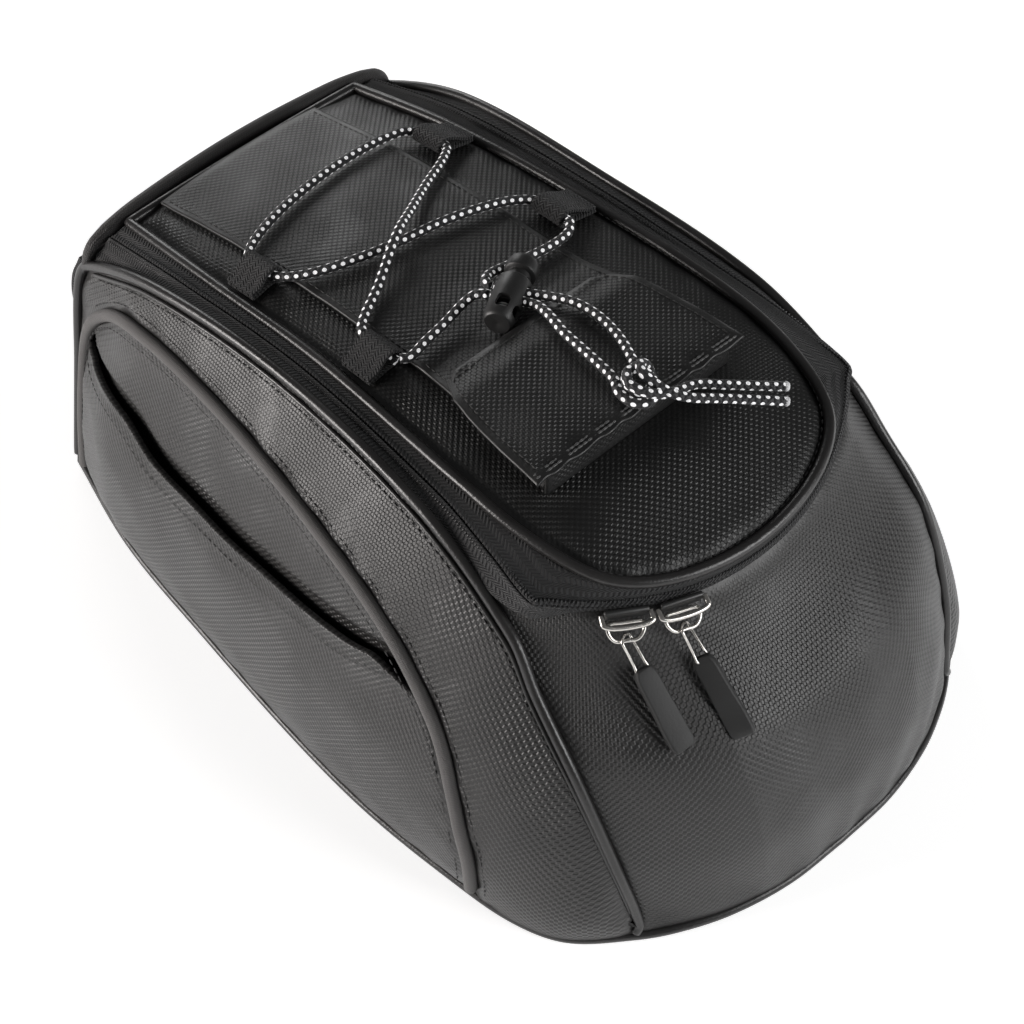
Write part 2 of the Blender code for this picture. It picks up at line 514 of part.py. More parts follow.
def add_lid(hinge, parts):
    sheet("lid_panel", over_lid(LID_WELT_R + SEAM_GAP, 0), 10, 14, 3.0, parts, "cover", hinge)
    sheet("lid_lining", over_lid(7.0, -4.4), 8, 10, 1.0, parts, "lining", hinge)
    ring = smooth(round_the_nose(LID_SEAM), 48)
    back = [(x, 149.3, 110 + 1.2 * (1 - (x / 53) ** 2)) for x in np.linspace(53, -53, 9)[1:-1]]
    tube("lid_piping", np.concatenate([ring, back]), LID_WELT_R, parts, "welt", hinge, sides=1, closed=True)

    def sleeve(s, t):
        y = 146.0 + (-21.0 - 146.0) * t
        wide = SLEEVE_HALF + 6.0 * ease((8 - y) / 50)
        x = SLEEVE_MIDDLE_X + wide * (2 * s - 1)
        return np.array([x, y, lid_height(x, y) + sleeve_lift(y)])
    sheet("sleeve_panel", sleeve, 8, 14, SKIN, parts, "cover", hinge)

    for side, sign in (("left", -1), ("right", 1)):
        def gusset(s, t, sign=sign):
            y = 4.0 - 61.0 * s
            x = SLEEVE_MIDDLE_X + sign * (SLEEVE_HALF + 6.0 * ease((8 - y) / 50) - 2.2)
            foot = lid_height(x, y) + 0.5
            head = max(foot + 0.9, min(lid_height(x, y) + sleeve_lift(y) - SKIN - 0.8, 148.6))
            if y < -30:
                head = min(foot + 12, flap_height(x, y) - SKIN - 0.5)
            return np.array([x, y, foot + (head - foot) * t])
        sheet(f"pouch_wall_{side}", gusset, 8, 2, SKIN, parts, "cover", hinge, inner=(SLEEVE_MIDDLE_X, -30, 140))

    def front(s, t):
        x = SLEEVE_MIDDLE_X + 40.5 * (2 * s - 1)
        y = -59.5 - 1.5 * (1 - (2 * s - 1) ** 2)
        foot = lid_height(x, y) + 0.5
        return np.array([x, y, foot + (flap_height(x, y) - SKIN - 0.5 - foot) * t])
    sheet("pouch_front", front, 10, 2, SKIN, parts, "cover", hinge, inner=(SLEEVE_MIDDLE_X, -30, 140))

    def hook(s, t):
        x, y = -9.0 + 30.0 * (s - 0.5), -12.5 - 7.0 * t
        return np.array([x, y, lid_height(x, y) + sleeve_lift(y) + 1.2])
    sheet("hook_patch", hook, 4, 2, 0.8, parts, "tape", hinge)


def flap_height(x, y):
    """The flap's outer face: level over the pouch, dipping to its free back edge."""
    return 149.3 + 2.6 * ease((FLAP_BACK_Y - y) / 14) + 1.4 * ease((-25 - y) / 38) \
        + 0.8 * (1 - ((x - FLAP_MIDDLE_X) / 46) ** 2)


def add_flap(hinge, parts):
    def flap(s, t):
        y = FLAP_BACK_Y + (FOLD_Y - FLAP_BACK_Y) * t
        wide = np.interp(y, (-64, -46, -29, -20, -13, -9.6), (45.5, 44.3, 42.0, 40.0, 36.0, 30.0))
        x = FLAP_MIDDLE_X + wide * (2 * s - 1)
        return np.array([x, y, flap_height(x, y)])
    sheet("flap_panel", flap, 8, 9, SKIN, parts, "cover", hinge)

    def patch_under(s, t):
        x, y = -9.0 + 30.0 * (s - 0.5), -12.5 - 7.0 * t
        return np.array([x, y, flap_height(x, y) - SKIN - 0.5])
    sheet("loop_patch", patch_under, 4, 2, 0.8, parts, "tape", hinge)


def add_loops_and_cord(hinge, parts):
    for name, (cord_x, y_middle, sewn_x) in LOOPS.items():
        sign = math.copysign(1, cord_x)
        sewn = abs(sewn_x)
        at_x = abs(cord_x)
        path = [(sewn, 1.3), (sewn - 3, 1.3), (at_x + 3.0, 1.65), (at_x, CORD_H - LOOP_R)]
        path += [(at_x - LOOP_R * math.sin(a), CORD_H - LOOP_R * math.cos(a))
                 for a in np.radians((30, 60, 90, 120, 150, 180))]
        path += [(at_x + 3.2, CORD_H + LOOP_R - 0.5), (sewn - 3.4, 3.4), (sewn, 2.95)]
        path = np.array(path)

        def strap(s, t, path=path, sign=sign, y_middle=y_middle, at_x=at_x):
            reach, height = along(path, t)
            y = y_middle + LOOP_WIDE * (s - 0.5)
            return np.array([sign * reach, y, lid_height(max(reach, at_x), y) + height])
        centre = (cord_x, y_middle, lid_height(at_x, y_middle) + CORD_H)
        loop = sheet(f"cord_loop_{name}", strap, 3, len(path) - 1, 1.1, parts, "webbing", hinge, inner=centre)
        loop.modifiers["Wall"].offset = 0
    lacing = [(x, y, lid_height(x if abs(x) < 41 else math.copysign(max(abs(x), 41), x), y) + h)
              for x, y, h in LACING]
    tube("lacing_cord", smooth(lacing, 70), CORD_R, parts, "cord", hinge, sides=1)
    tube("cord_lead_left", smooth(LEAD_LEFT, 16), CORD_R, parts, "cord", hinge, sides=1)
    tube("cord_lead_right", smooth(LEAD_RIGHT, 20), CORD_R, parts, "cord", hinge, sides=1)


def lock_point(a, across=0.0, up=0.0):
    """A point of the cord lock: along its axis from its foot, across it and up."""
    x, y, _ = LOCK_AXIS
    start = np.array(LOCK_MIDDLE) - 14.25 * np.array(LOCK_AXIS)
    return start + a * np.array(LOCK_AXIS) + across * np.array([-y, x, 0]) + up * np.array([0, 0, 1])


def turned_solid(name, profile, parts, material_name, pivot, steps=20):
    """A profile of (place on the lock's axis, radius) turned about the axis by Screw."""
    bm = bmesh.new()
    verts = [bm.verts.new((r * MM, 0, a * MM)) for a, r in profile]
    for first, second in zip(verts, verts[1:] + verts[:1]):
        if first.co.x > 0 or second.co.x > 0:
            bm.edges.new((first, second))
    mesh = bpy.data.meshes.new(name)
    bm.to_mesh(mesh)
    bm.free()
    obj = bpy.data.objects.new(name, mesh)
    add(obj, parts, material_name)
    screw = obj.modifiers.new("Turned", "SCREW")
    screw.axis = "Z"
    screw.steps = screw.render_steps = steps
    screw.use_merge_vertices = True
    screw.merge_threshold = 1e-5
    screw.use_normal_calculate = True
    turn = np.array([0, 0, 1.0])
    side = np.array([-LOCK_AXIS[1], LOCK_AXIS[0], 0])
    matrix = np.eye(4)
    matrix[:3, 0], matrix[:3, 1], matrix[:3, 2] = turn, side, LOCK_AXIS
    if np.linalg.det(matrix[:3, :3]) < 0:
        matrix[:3, 1] *= -1
    matrix[:3, 3] = mm(lock_point(0))
    obj.matrix_world = type(obj.matrix_world)(matrix.tolist())
    if pivot:
        bpy.context.view_layer.update()
        obj.parent = pivot
        obj.matrix_parent_inverse = pivot.matrix_world.inverted()
    return obj


def cut(target, middle, size, cutters):
    """Cuts a box out of one of the lock's pieces, its sides along the lock's axis, across and up."""
    axes = (LOCK_AXIS, (-LOCK_AXIS[1], LOCK_AXIS[0], 0), (0, 0, 1))
    name = f"{target.name}_cutter_{len(cutters.objects)}"
    cutter = block(name, middle, size, axes, cutters, "plastic", bevel=min(size) * 0.2)
    cutter.hide_render = True
    cutter.display_type = "WIRE"
    slot = target.modifiers.new("Slot", "BOOLEAN")
    slot.operation = "DIFFERENCE"
    slot.solver = "EXACT"
    slot.object = cutter


def add_lock(flap_hinge, button_pivot, parts, cutters):
    cup = [(0, 0), (0, 4.6), (1.0, 5.2), (12, LOCK_R), (18.8, LOCK_R - 0.3), (19.4, 5.4), (19.4, 4.5), (1.6, 4.5),
           (1.6, 0)]
    plunger = [(8.2, 0), (8.2, 4.1), (22.8, 4.1), (22.8, 5.0), (23.6, 5.6), (27.8, 5.6), (28.5, 5.0), (28.5, 3.4),
               (25.4, 3.4), (25.4, 0)]
    barrel = turned_solid("lock_barrel", cup, parts, "plastic", flap_hinge)
    button = turned_solid("lock_button", plunger, parts, "plastic", button_pivot)
    cut(barrel, lock_point(13.15, 0, 0.3), (8.4, 16, 5.6), cutters)
    cut(barrel, lock_point(4.9, -6.5, 1.5), (4.4, 8, 4.4), cutters)
    cut(button, lock_point(15.2, 0, 0.3), (12.4, 16, 5.2), cutters)
    turns, count = 3, 30
    helix = [lock_point(2.15 + 2.3 * k / count, 2.9 * math.cos(2 * math.pi * turns * k / count),
                        2.9 * math.sin(2 * math.pi * turns * k / count)) for k in range(count + 1)]
    tube("lock_spring", helix, 0.34, parts, "steel", flap_hinge, sides=0)


def add_tails(hinge, parts):
    for name, points, count in (("cord_tail_left", TAIL_LEFT, 20), ("cord_tail_right", TAIL_RIGHT, 22),
                                ("cord_knot", KNOT, 26), ("cord_end_upper", END_UPPER, 12),
                                ("cord_end_lower", END_LOWER, 12)):
        tube(name, smooth(points, count), CORD_R, parts, "cord", hinge, sides=1)


# Sliders and pulls.

def pull_frame(degrees):
    """At a slider: along the teeth to the right, straight out from them, and up the teeth's axis."""
    out = zip_arc(degrees, 1) - zip_arc(degrees)
    up = zip_arc(degrees, 0, 1) - zip_arc(degrees)
    return np.cross(up, out) * -1, out / np.linalg.norm(out), up


def add_pull(side, degrees, tab_turn, parts):
    """A slider with its bridge, its ring, and the wire link with the tab, each on its own joint."""
    right, out, up = pull_frame(degrees)
    start = zip_arc(degrees)

    def at(x, o, u):
        return start + right * x + out * o + up * u
    top = at(0, RING_OUT, -3.2)
    hang = np.array(PULL_END[side]) - top
    hang -= right * hang.dot(right)
    hang /= np.linalg.norm(hang)
    end = top + hang * 5.9
    slider = joint_empty(f"slider_{side}_turn", zip_arc(0, -ZIP_R), parts)
    ring = joint_empty(f"pull_ring_{side}_hinge", top, parts)
    tab = joint_empty(f"pull_tab_{side}_hinge", end, parts)

    block(f"slider_{side}", at(0, PLATE_OUT, -0.4), (16.0, 1.8, 6.4), (right, out, up), parts, "nickel", slider)
    bar = [at(8.4 * math.sin(a), PLATE_OUT + 2.3 + (BAR_OUT - PLATE_OUT - 2.3) * math.sqrt(math.cos(a)),
              -0.5 - 0.7 * math.cos(a)) for a in np.radians((-78, -60, -40, -20, 0, 20, 40, 60, 78))]
    tube(f"slider_bridge_{side}", bar, 1.0, parts, "nickel", slider)
    loop = [(-5.2, 0), (-2, 0), (2, 0), (5.2, 0), (6.0, -1.2), (5.8, -3.2), (4.4, -5.2), (2.8, -5.9), (0, -5.9),
            (-2.8, -5.9), (-4.4, -5.2), (-5.8, -3.2), (-6.0, -1.2)]
    tube(f"pull_ring_{side}", [top + right * x - hang * y for x, y in loop], 0.7, parts, "nickel", ring,
         sides=1, closed=True)

    down = np.array(PULL_END[side]) - end
    down /= np.linalg.norm(down)
    face = np.cross(right, down)
    face *= (1 if face.dot(out) > 0 else -1) / np.linalg.norm(face)
    flat = np.cross(down, face)
    flat *= 1 if flat.dot(right) > 0 else -1
    wire = [(0, 2.4, 0), (-1.6, 1.6, -1.2), (-2.1, 0, -1.75), (-2.0, -3.5, -1.0), (-1.9, -8.6, 0),
            (0, -9.2, 0), (1.9, -8.6, 0), (2.0, -3.5, 1.0), (2.1, 0, 1.75), (1.6, 1.6, 1.2)]
    tube(f"pull_wire_{side}", [end + flat * x - down * y + face * z for x, y, z in wire], 0.5, parts, "nickel",
         tab, sides=1, closed=True)
    spin = math.radians(tab_turn)
    across = flat * math.cos(spin) + face * math.sin(spin)
    depth = face * math.cos(spin) - flat * math.sin(spin)
    block(f"pull_tab_{side}", end + down * (10.2 + 15.2), (8.6, 3.2, 30.4), (across, depth, -down), parts, "rubber",
          tab, bevel=0.7, taper=0.9)


def main():
    clear_scene()
    parts = bpy.data.collections.new("luggage_bag")
    cutters = bpy.data.collections.new("cutters")
    bpy.context.scene.collection.children.link(parts)
    bpy.context.scene.collection.children.link(cutters)
    add_base(parts)
    for side, sign in (("left", -1), ("right", 1)):
        add_side(side, sign, parts)
    add_nose_and_back(parts)
    lid_hinge = joint_empty("lid_hinge", (0, HINGE_Y, HINGE_Z), parts)
    flap_hinge = joint_empty("flap_hinge", (FLAP_MIDDLE_X, FOLD_Y, FOLD_Z), parts)
    button_pivot = joint_empty("lock_button_slide", LOCK_MIDDLE, parts)
    add_closure(lid_hinge, parts)
    add_lid(lid_hinge, parts)
    add_flap(flap_hinge, parts)
    add_loops_and_cord(lid_hinge, parts)
    add_lock(flap_hinge, button_pivot, parts, cutters)
    add_tails(flap_hinge, parts)
    add_pull("left", SLIDER_LEFT_DEG, 6, parts)
    add_pull("right", SLIDER_RIGHT_DEG, -40, parts)


main()
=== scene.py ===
# %% [markdown]
# # Zipped luggage bag
#
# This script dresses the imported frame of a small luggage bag: embossed panels, piping, tapes, webbing, a
# laced bungee cord, its lock and the zip pulls. It goes from the camera and the seams, through the tools
# that make pieces and materials, to the pieces themselves and the light.

# %%
import math

import bmesh
import bpy
import numpy as np
from mathutils import Matrix, Vector


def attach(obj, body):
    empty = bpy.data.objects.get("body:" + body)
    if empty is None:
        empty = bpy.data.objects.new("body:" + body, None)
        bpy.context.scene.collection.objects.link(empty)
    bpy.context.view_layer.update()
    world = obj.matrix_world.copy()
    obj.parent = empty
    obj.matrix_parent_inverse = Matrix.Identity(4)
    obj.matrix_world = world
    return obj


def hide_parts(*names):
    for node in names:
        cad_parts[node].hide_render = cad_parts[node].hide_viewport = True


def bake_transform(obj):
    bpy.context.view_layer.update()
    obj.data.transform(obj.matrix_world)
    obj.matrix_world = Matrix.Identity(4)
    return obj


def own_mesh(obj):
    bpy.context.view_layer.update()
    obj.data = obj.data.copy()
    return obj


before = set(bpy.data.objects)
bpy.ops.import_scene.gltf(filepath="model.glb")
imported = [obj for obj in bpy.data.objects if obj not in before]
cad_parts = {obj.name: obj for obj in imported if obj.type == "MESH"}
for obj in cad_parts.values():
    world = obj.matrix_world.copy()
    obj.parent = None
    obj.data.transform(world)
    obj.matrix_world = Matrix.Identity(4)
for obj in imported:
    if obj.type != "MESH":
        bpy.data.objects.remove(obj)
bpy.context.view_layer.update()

# %% [markdown]
# The camera looks down on the rounded nose from the front left. Its three axes are the columns of its
# matrix.

# %%
camera_data = bpy.data.cameras.new("Studio camera")
camera_data.lens = 91.19
camera_data.sensor_width = 36.0
camera_data.clip_start = 0.05
camera = bpy.data.objects.new("Studio camera", camera_data)
bpy.context.scene.collection.objects.link(camera)
bpy.context.scene.camera = camera
camera_right, camera_up = np.array([0.7349, -0.6782, 0.0]), np.array([0.5248, 0.5687, 0.6334])
camera_back = np.array([-0.4296, -0.4655, 0.7738])
roll = math.radians(-0.21)
level_right = camera_right * math.cos(roll) + camera_up * math.sin(roll)
level_up = camera_up * math.cos(roll) - camera_right * math.sin(roll)
camera.matrix_world = Matrix((
    (level_right[0], level_up[0], camera_back[0], -0.4050),
    (level_right[1], level_up[1], camera_back[1], -0.43525),
    (level_right[2], level_up[2], camera_back[2], 0.7606),
    (0, 0, 0, 1),
))

# %% [markdown]
# The shapes come from seams drawn as tables of points, in millimetres, with the nose at -Y. A seam is a
# smooth curve through its points, and a panel is a patch between four seams.

# %%
MM = 0.001
MIDDLE_Y = 2.35
PANEL, SKIN, LID_FOAM, TAPE = 2.4, 1.2, 2.8, 0.8  # how thick each cloth is
WELT_R, LID_WELT_R, REFLECTIVE_R, CORD_R = 1.9, 2.0, 2.4, 1.65
LID_CROWN, SIDE_BULGE, NOSE_BULGE = 6.0, 11.0, 8.0
ZIP_R, ZIP_CENTRE_Y, ZIP_END_DEG, ZIP_SLOPE, ZIP_NOSE_Z = 100.0, -11.0, 46.0, 0.29, 116.0
ZIP_STATIONS = (46.0, 43.0, 38.0, 30.0, 20.0, 10.0, 0.0)
SLIDER_DEG = {"left": -29.3, "right": -19.0}
FOLD_Y = -64.5
SLEEVE_MIDDLE_X, SLEEVE_HALF = -5.0, 36.0
POCKET_DEPTH = 9.0
TOOTH_PITCH = 1.3
STITCH = (3.0, 2.2, 0.5)  # pitch, length and width
FLAP_MIDDLE_X, FLAP_BACK_Y = -9.0, -9.6
PLATE_OUT, BAR_OUT, RING_OUT = 2.6, 7.4, 4.7
PULL_END = {"left": (-53.6, -132.4, 81.0), "right": (-35.2, -139.2, 81.2)}

LID_SEAM = [(53, 149, 110), (56.5, 99, 121.5), (58, 37, 131), (60.7, -32, 134), (59, -66, 131.5),
            (50, -92, 127.3), (30, -105, 124), (0, -110, 122.5)]
ZIP_SIDE = [(61.5, 149, 108), (64.2, 103, 121.5), (64.7, 37, 131.3), (68, -32, 132), (70.8, -62, 128.5)]
BODY_SEAM = [(71, 153, 98), (71.5, 107, 120.5), (71, 37, 131), (75, -35, 129.5), (78, -78, 110.5),
             (80.5, -92, 95), (82.5, -113, 72), (80.5, -130, 38), (76.5, -138.5, 8)]
BACK_EDGE = [(71, 153, 98), (73.5, 156.5, 88), (79, 157.5, 50), (86, 157.5, 8)]
BASE_SIDE = [(88, 157.5, 0), (100, 110, 0), (106, 55, 0), (110.5, 0, 0), (111.5, -40, 0),
             (108.5, -80, 0), (104.5, -106, 0), (96.5, -124, 0), (79, -139, 0)]
BASE_NOSE = [(79, -139, 0), (66, -147, 0), (48, -154.5, 0), (25, -159.5, 0), (0, -160.5, 0)]
BINDING = [(70.8, 153.2, 98.8), (69.0, 153.3, 103.2), (65, 153.5, 106.2), (45, 154.8, 109.6), (0, 155.3, 112)]

# The pocket arch and the pocket's mouth, as (share from back to front, share from seam to base).
ARCH = [(0.03, 0.955), (0.03, 0.54), (0.032, 0.32), (0.05, 0.19), (0.085, 0.14), (0.156, 0.14), (0.25, 0.172),
        (0.35, 0.212), (0.45, 0.25), (0.54, 0.285), (0.61, 0.325), (0.67, 0.385), (0.715, 0.465),
        (0.755, 0.59), (0.785, 0.74), (0.806, 0.955)]
MOUTH = [(0.045, 0.31), (0.069, 0.375), (0.156, 0.43), (0.219, 0.495), (0.306, 0.515), (0.394, 0.513),
         (0.469, 0.49), (0.537, 0.45), (0.575, 0.40), (0.596, 0.36)]
LOOPS = {"front_left": (-44.6, 21.0, -55.2), "rear_left": (-44.6, 82.5, -54.6),
         "front_right": (41.0, 29.5, 55.0), "rear_right": (41.0, 91.5, 54.2)}
LOOP_WIDE = 14.0
LOOP_R = 2.85  # from the cord's centre to the middle of the webbing
CORD_H = 4.3  # the cord's centre over the cover, inside a loop

# The laced cord over the lid, as (x, y, height of its centre over the lid's cover).
LACING = [(-44.6, 12.8, 4.3), (-44.6, 21, 4.3), (-44.6, 28.6, 4.3), (-41.4, 33.6, 4.5), (-27, 42, 4.8),
          (-9, 53, 9.0), (5, 61.5, 6.6), (20, 70.5, 4.8), (34, 78, 4.5), (41, 83.8, 4.3), (41, 87.5, 4.3),
          (41, 91.5, 4.3), (41, 95.5, 4.3), (41, 99.0, 4.3), (36, 103.2, 4.6), (18, 104.4, 4.6),
          (-2, 103, 4.6),
          (-22, 99.8, 4.6), (-38, 95, 4.5), (-44.6, 89.8, 4.3), (-44.6, 82.5, 4.3), (-44.6, 75.2, 4.3),
          (-39, 67.5, 4.4), (-28, 60.5, 4.6), (-9, 53.6, 4.6), (8, 50.5, 4.6), (22, 46.8, 4.8),
          (34, 42.6, 4.5), (41, 36.8, 4.3), (41, 29.5, 4.3), (41, 22, 4.3)]

# The cord lock lies across the sleeve; its foot is on the left, its button on the right.
LOCK_MIDDLE = (-3.2, 2.6, 149.5)
LOCK_AXIS = (0.878, 0.479, 0.0)

LEAD_LEFT = [(-44.3, 11.2, 141.8), (-41.5, 9.4, 141.9), (-34, 10.4, 142.9), (-25, 11.2, 144.2),
             (-17, 12.0, 146.2), (-12.4, 11.0, 148.6), (-10.2, 9.0, 149.5), (-9.1, 7.0, 149.6)]
LEAD_RIGHT = [(40.6, 20.4, 141.0), (36, 16.4, 141.2), (27, 14.8, 142.4), (17, 15.2, 143.6), (7, 16.0, 145.2),
              (-0.6, 15.6, 147.2), (-4.8, 13.2, 149.0), (-6.2, 10.6, 149.6), (-5.6, 9.2, 149.6)]
TAPE_BODY = [(71, 153, 98), (71.5, 103, 121), (71, 37, 131), (75, -32, 129.3), (76.8, -58, 120.8),
             (76.4, -69.4, 118.2), (73.4, -79.8, 116.8)]
TAPE_LID = [(53, 149, 110), (56.3, 103, 120.7), (58, 37, 131), (60.7, -32, 134), (59.2, -62, 132),
            (56.5, -78, 129.4), (54.5, -83.5, 128.6), (49.5, -92.4, 127.2), (40.5, -99.6, 125.3),
            (27.6, -105.8, 123.8), (14, -109.2, 122.8), (0, -110, 122.5)]

# The two tied cords: from the lock, over the flap, through an overhand knot and out to their cut ends.
TIED_LEFT = [(-8.7, 6.3, 149.6), (-5.9, 1.1, 149.8), (-2.9, -4.4, 150.6), (-2.6, -9.6, 152.6),
             (-4.2, -17, 154.6),
             (-6.2, -25, 155.2), (-7.4, -35, 155.9), (-8.6, -45, 156.6), (-9.8, -52.0, 157.0),
             (-12.6, -57.5, 156.9),
             (-12.0, -63.5, 156.6), (-7.4, -66.6, 157.0), (-3.2, -63.4, 158.6), (-3.0, -57.8, 160.6),
             (-7.2, -55.6, 161.6), (-10.6, -59.4, 161.6), (-9.0, -64.6, 160.6), (-4.0, -67.6, 158.2),
             (1.6, -68.8, 156.6), (8.6, -70.0, 155.2), (16.0, -74.6, 153.2), (25.0, -80.4, 150.6),
             (34.6, -86.4, 147.8)]
TIED_RIGHT = [(-5.2, 8.4, 149.6), (-2.4, 3.1, 149.8), (0.7, -2.6, 150.6), (3.0, -9.2, 152.6),
              (5.6, -17, 154.4), (6.8, -25, 155.0), (6.2, -33, 155.6), (4.2, -41, 156.2), (1.2, -48, 156.8),
              (-1.6, -53.0, 157.4),
              (-5.6, -54.0, 158.2), (-9.2, -57.0, 158.4), (-8.8, -61.6, 157.8), (-4.6, -62.4, 155.6),
              (-0.6, -59.6, 156.6), (0.2, -56.4, 159.4), (-2.6, -56.2, 162.0), (-5.2, -60.2, 162.6),
              (-3.8, -65.4, 160.4), (-1.2, -69.8, 158.0), (3.4, -73.4, 155.6), (11.0, -77.4, 152.8),
              (21.6, -84.0, 149.4), (31.0, -90.0, 146.4)]


def smooth(points, count):
    """A smooth curve through the points, as count evenly spaced points."""
    p = np.array(points, float)
    steps = np.linalg.norm(np.diff(p, axis=0), axis=1)
    t = np.concatenate([[0], np.cumsum(steps)])
    slope = np.empty_like(p)
    slope[1:-1] = (p[2:] - p[:-2]) / (t[2:] - t[:-2])[:, None]
    slope[0], slope[-1] = (p[1] - p[0]) / steps[0], (p[-1] - p[-2]) / steps[-1]
    x = np.linspace(0, t[-1], 2400)
    k = np.clip(np.searchsorted(t, x, side="right") - 1, 0, len(steps) - 1)
    h, s = steps[k][:, None], ((x - t[k]) / steps[k])[:, None]
    fine = ((2 * s**3 - 3 * s**2 + 1) * p[k] + (s**3 - 2 * s**2 + s) * h * slope[k]
            + (3 * s**2 - 2 * s**3) * p[k + 1] + (s**3 - s**2) * h * slope[k + 1])
    run = run_of(fine)
    even = np.linspace(0, run[-1], count)
    return np.stack([np.interp(even, run, fine[:, axis]) for axis in range(p.shape[1])], axis=1)


def length_of(path):
    return float(np.linalg.norm(np.diff(path, axis=0), axis=1).sum())


def run_of(path):
    """How far along the path each of its points lies."""
    return np.concatenate([[0], np.cumsum(np.linalg.norm(np.diff(path, axis=0), axis=1))])


def placed_on(basis, place):
    """The matrix that puts a piece on three axes, in columns, at a place."""
    return Matrix([[*basis[k], place[k]] for k in range(3)] + [[0, 0, 0, 1]])


def metres(points):
    """Table points in metres, about the middle of the base."""
    return (np.asarray(points, float) - [0, MIDDLE_Y, 0]) * MM


def along(curve, share):
    """The points at these shares, 0 to 1, of an evenly spaced curve."""
    x = np.clip(share, 0, 1) * (len(curve) - 1)
    k = np.minimum(np.asarray(x).astype(int), len(curve) - 2)
    return curve[k] + (curve[k + 1] - curve[k]) * np.asarray(x - k)[..., None]


def ease(x):
    x = np.clip(x, 0, 1)
    return x * x * (3 - 2 * x)


def mirrored(points):
    return [(-p[0], *p[1:]) for p in points]


def whole(half):
    """A right-hand half, from the back to the nose, made whole: back left, nose, back right."""
    return mirrored(half) + list(half[:-1])[::-1]


def stacked(*parts):
    return np.stack(np.broadcast_arrays(*parts), axis=-1)


def unit(vectors):
    return vectors / np.maximum(np.linalg.norm(vectors, axis=-1, keepdims=True), 1e-9)


def patch(near, far, left, right):
    """A surface between four curves: near and far run along s, left and right along t."""
    def place(s, t):
        s1, t1 = s[..., None], t[..., None]
        return ((1 - t1) * along(near, s) + t1 * along(far, s) + (1 - s1) * along(left, t) + s1
                * along(right, t) - (1 - s1) * (1 - t1) * near[0] - s1 * (1 - t1) * near[-1]
                - (1 - s1) * t1 * far[0] - s1 * t1 * far[-1])
    return place


LID_HALF = smooth(LID_SEAM, 400)[::-1]


def lid_height(x, y):
    """The lid's cover: its seam gives the height, and the foam crowns it in between."""
    wide = np.interp(y, LID_HALF[:, 1], LID_HALF[:, 0])
    seam = np.interp(y, LID_HALF[:, 1], LID_HALF[:, 2])
    crown = LID_CROWN * ease((y + 111) / 40) * (0.75 + 0.25 * ease((150 - y) / 60))
    return seam + crown * (1 - np.minimum(1.0, np.abs(x) / np.maximum(wide, 5.0)) ** 2)


def zip_arc(degrees, out=0.0, up=0.0):
    """A point on the zip's arc round the nose, moved out from its centre and up its axis."""
    turn, tilt = math.radians(degrees), math.atan(ZIP_SLOPE)
    radial = np.array([math.sin(turn), -math.cos(turn), -math.cos(turn) * ZIP_SLOPE])
    axis = np.array([0, -math.sin(tilt), math.cos(tilt)])
    centre = np.array([0, ZIP_CENTRE_Y, ZIP_NOSE_Z + ZIP_SLOPE * (ZIP_CENTRE_Y + 111)])
    return centre + radial * (ZIP_R + out) + axis * up


def flap_height(x, y):
    """The flap's outer face: level over the pouch, dipping to its free back edge."""
    return 149.3 + 2.6 * ease((FLAP_BACK_Y - y) / 14) + 1.4 * ease((-25 - y) / 38) \
        + 0.8 * (1 - ((x - FLAP_MIDDLE_X) / 46) ** 2)


def sleeve_lift(y):
    return np.interp(y, (-40, -22, -10, 2, 14, 26, 150), (12.2, 8.0, 5.4, 3.2, 2.3, 1.9, 1.9))


def ripple(points, size, seed=0.0):
    """Soft waves of about this size, in millimetres, between -1 and 1."""
    x, y, z = points[..., 0] / size, points[..., 1] / size, points[..., 2] / size
    return (np.sin(1.9 * x + 0.7 * y + 1.1 * z + seed) + np.sin(-0.9 * x + 1.7 * y + 0.6 * z + 2.1 * seed + 1)
            + np.sin(0.8 * x - 1.3 * y + 1.9 * z + 3.7 * seed + 2)
            + np.sin(2.6 * x + 2.3 * y - 0.7 * z + seed * 5)) / 4

# %% [markdown]
# Every soft piece is a fine grid laid over its surface, drawn in at its seams and rippled a little. Cords
# and piping are grids rolled into tubes. Small hard pieces are bevelled blocks and turned profiles.

# %%
def mesh_of(name, bm):
    mesh = bpy.data.meshes.new(name)
    bm.to_mesh(mesh)
    bm.free()
    return mesh


def in_scene(name, data):
    obj = bpy.data.objects.new(name, data)
    bpy.context.scene.collection.objects.link(obj)
    return obj


def finish_mesh(name, bm, material, body, replaced=(), sharp=None):
    """The piece as an object: its material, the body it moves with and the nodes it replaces."""
    obj = in_scene(name, mesh_of(name, bm))
    obj.data.materials.append(material)
    obj.data.shade_smooth()
    if sharp:
        obj.data.set_sharp_from_angle(angle=math.radians(sharp))
    if isinstance(body, str):
        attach(obj, body)
    if replaced:
        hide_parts(*replaced)
    return obj


def laid_grid(points, coordinates, fade=None):
    """A grid mesh with its points at points[row, column], its own UV map and how far its embossing shows."""
    rows, across = points.shape[0] - 1, points.shape[1] - 1
    bm = bmesh.new()
    layer = bm.loops.layers.uv.new("Place")
    shown = bm.verts.layers.float.new("Fade")
    bmesh.ops.create_grid(bm, x_segments=across, y_segments=rows, size=0.5)
    index = {}
    for v in bm.verts:
        index[v] = (round((v.co.y + 0.5) * rows), round((v.co.x + 0.5) * across))
    placed = metres(points)
    for v, where in index.items():
        v.co = placed[where]
        v[shown] = 1.0 if fade is None else fade[where]
    for face in bm.faces:
        for loop in face.loops:
            loop[layer].uv = coordinates[index[loop.vert]]
    return bm


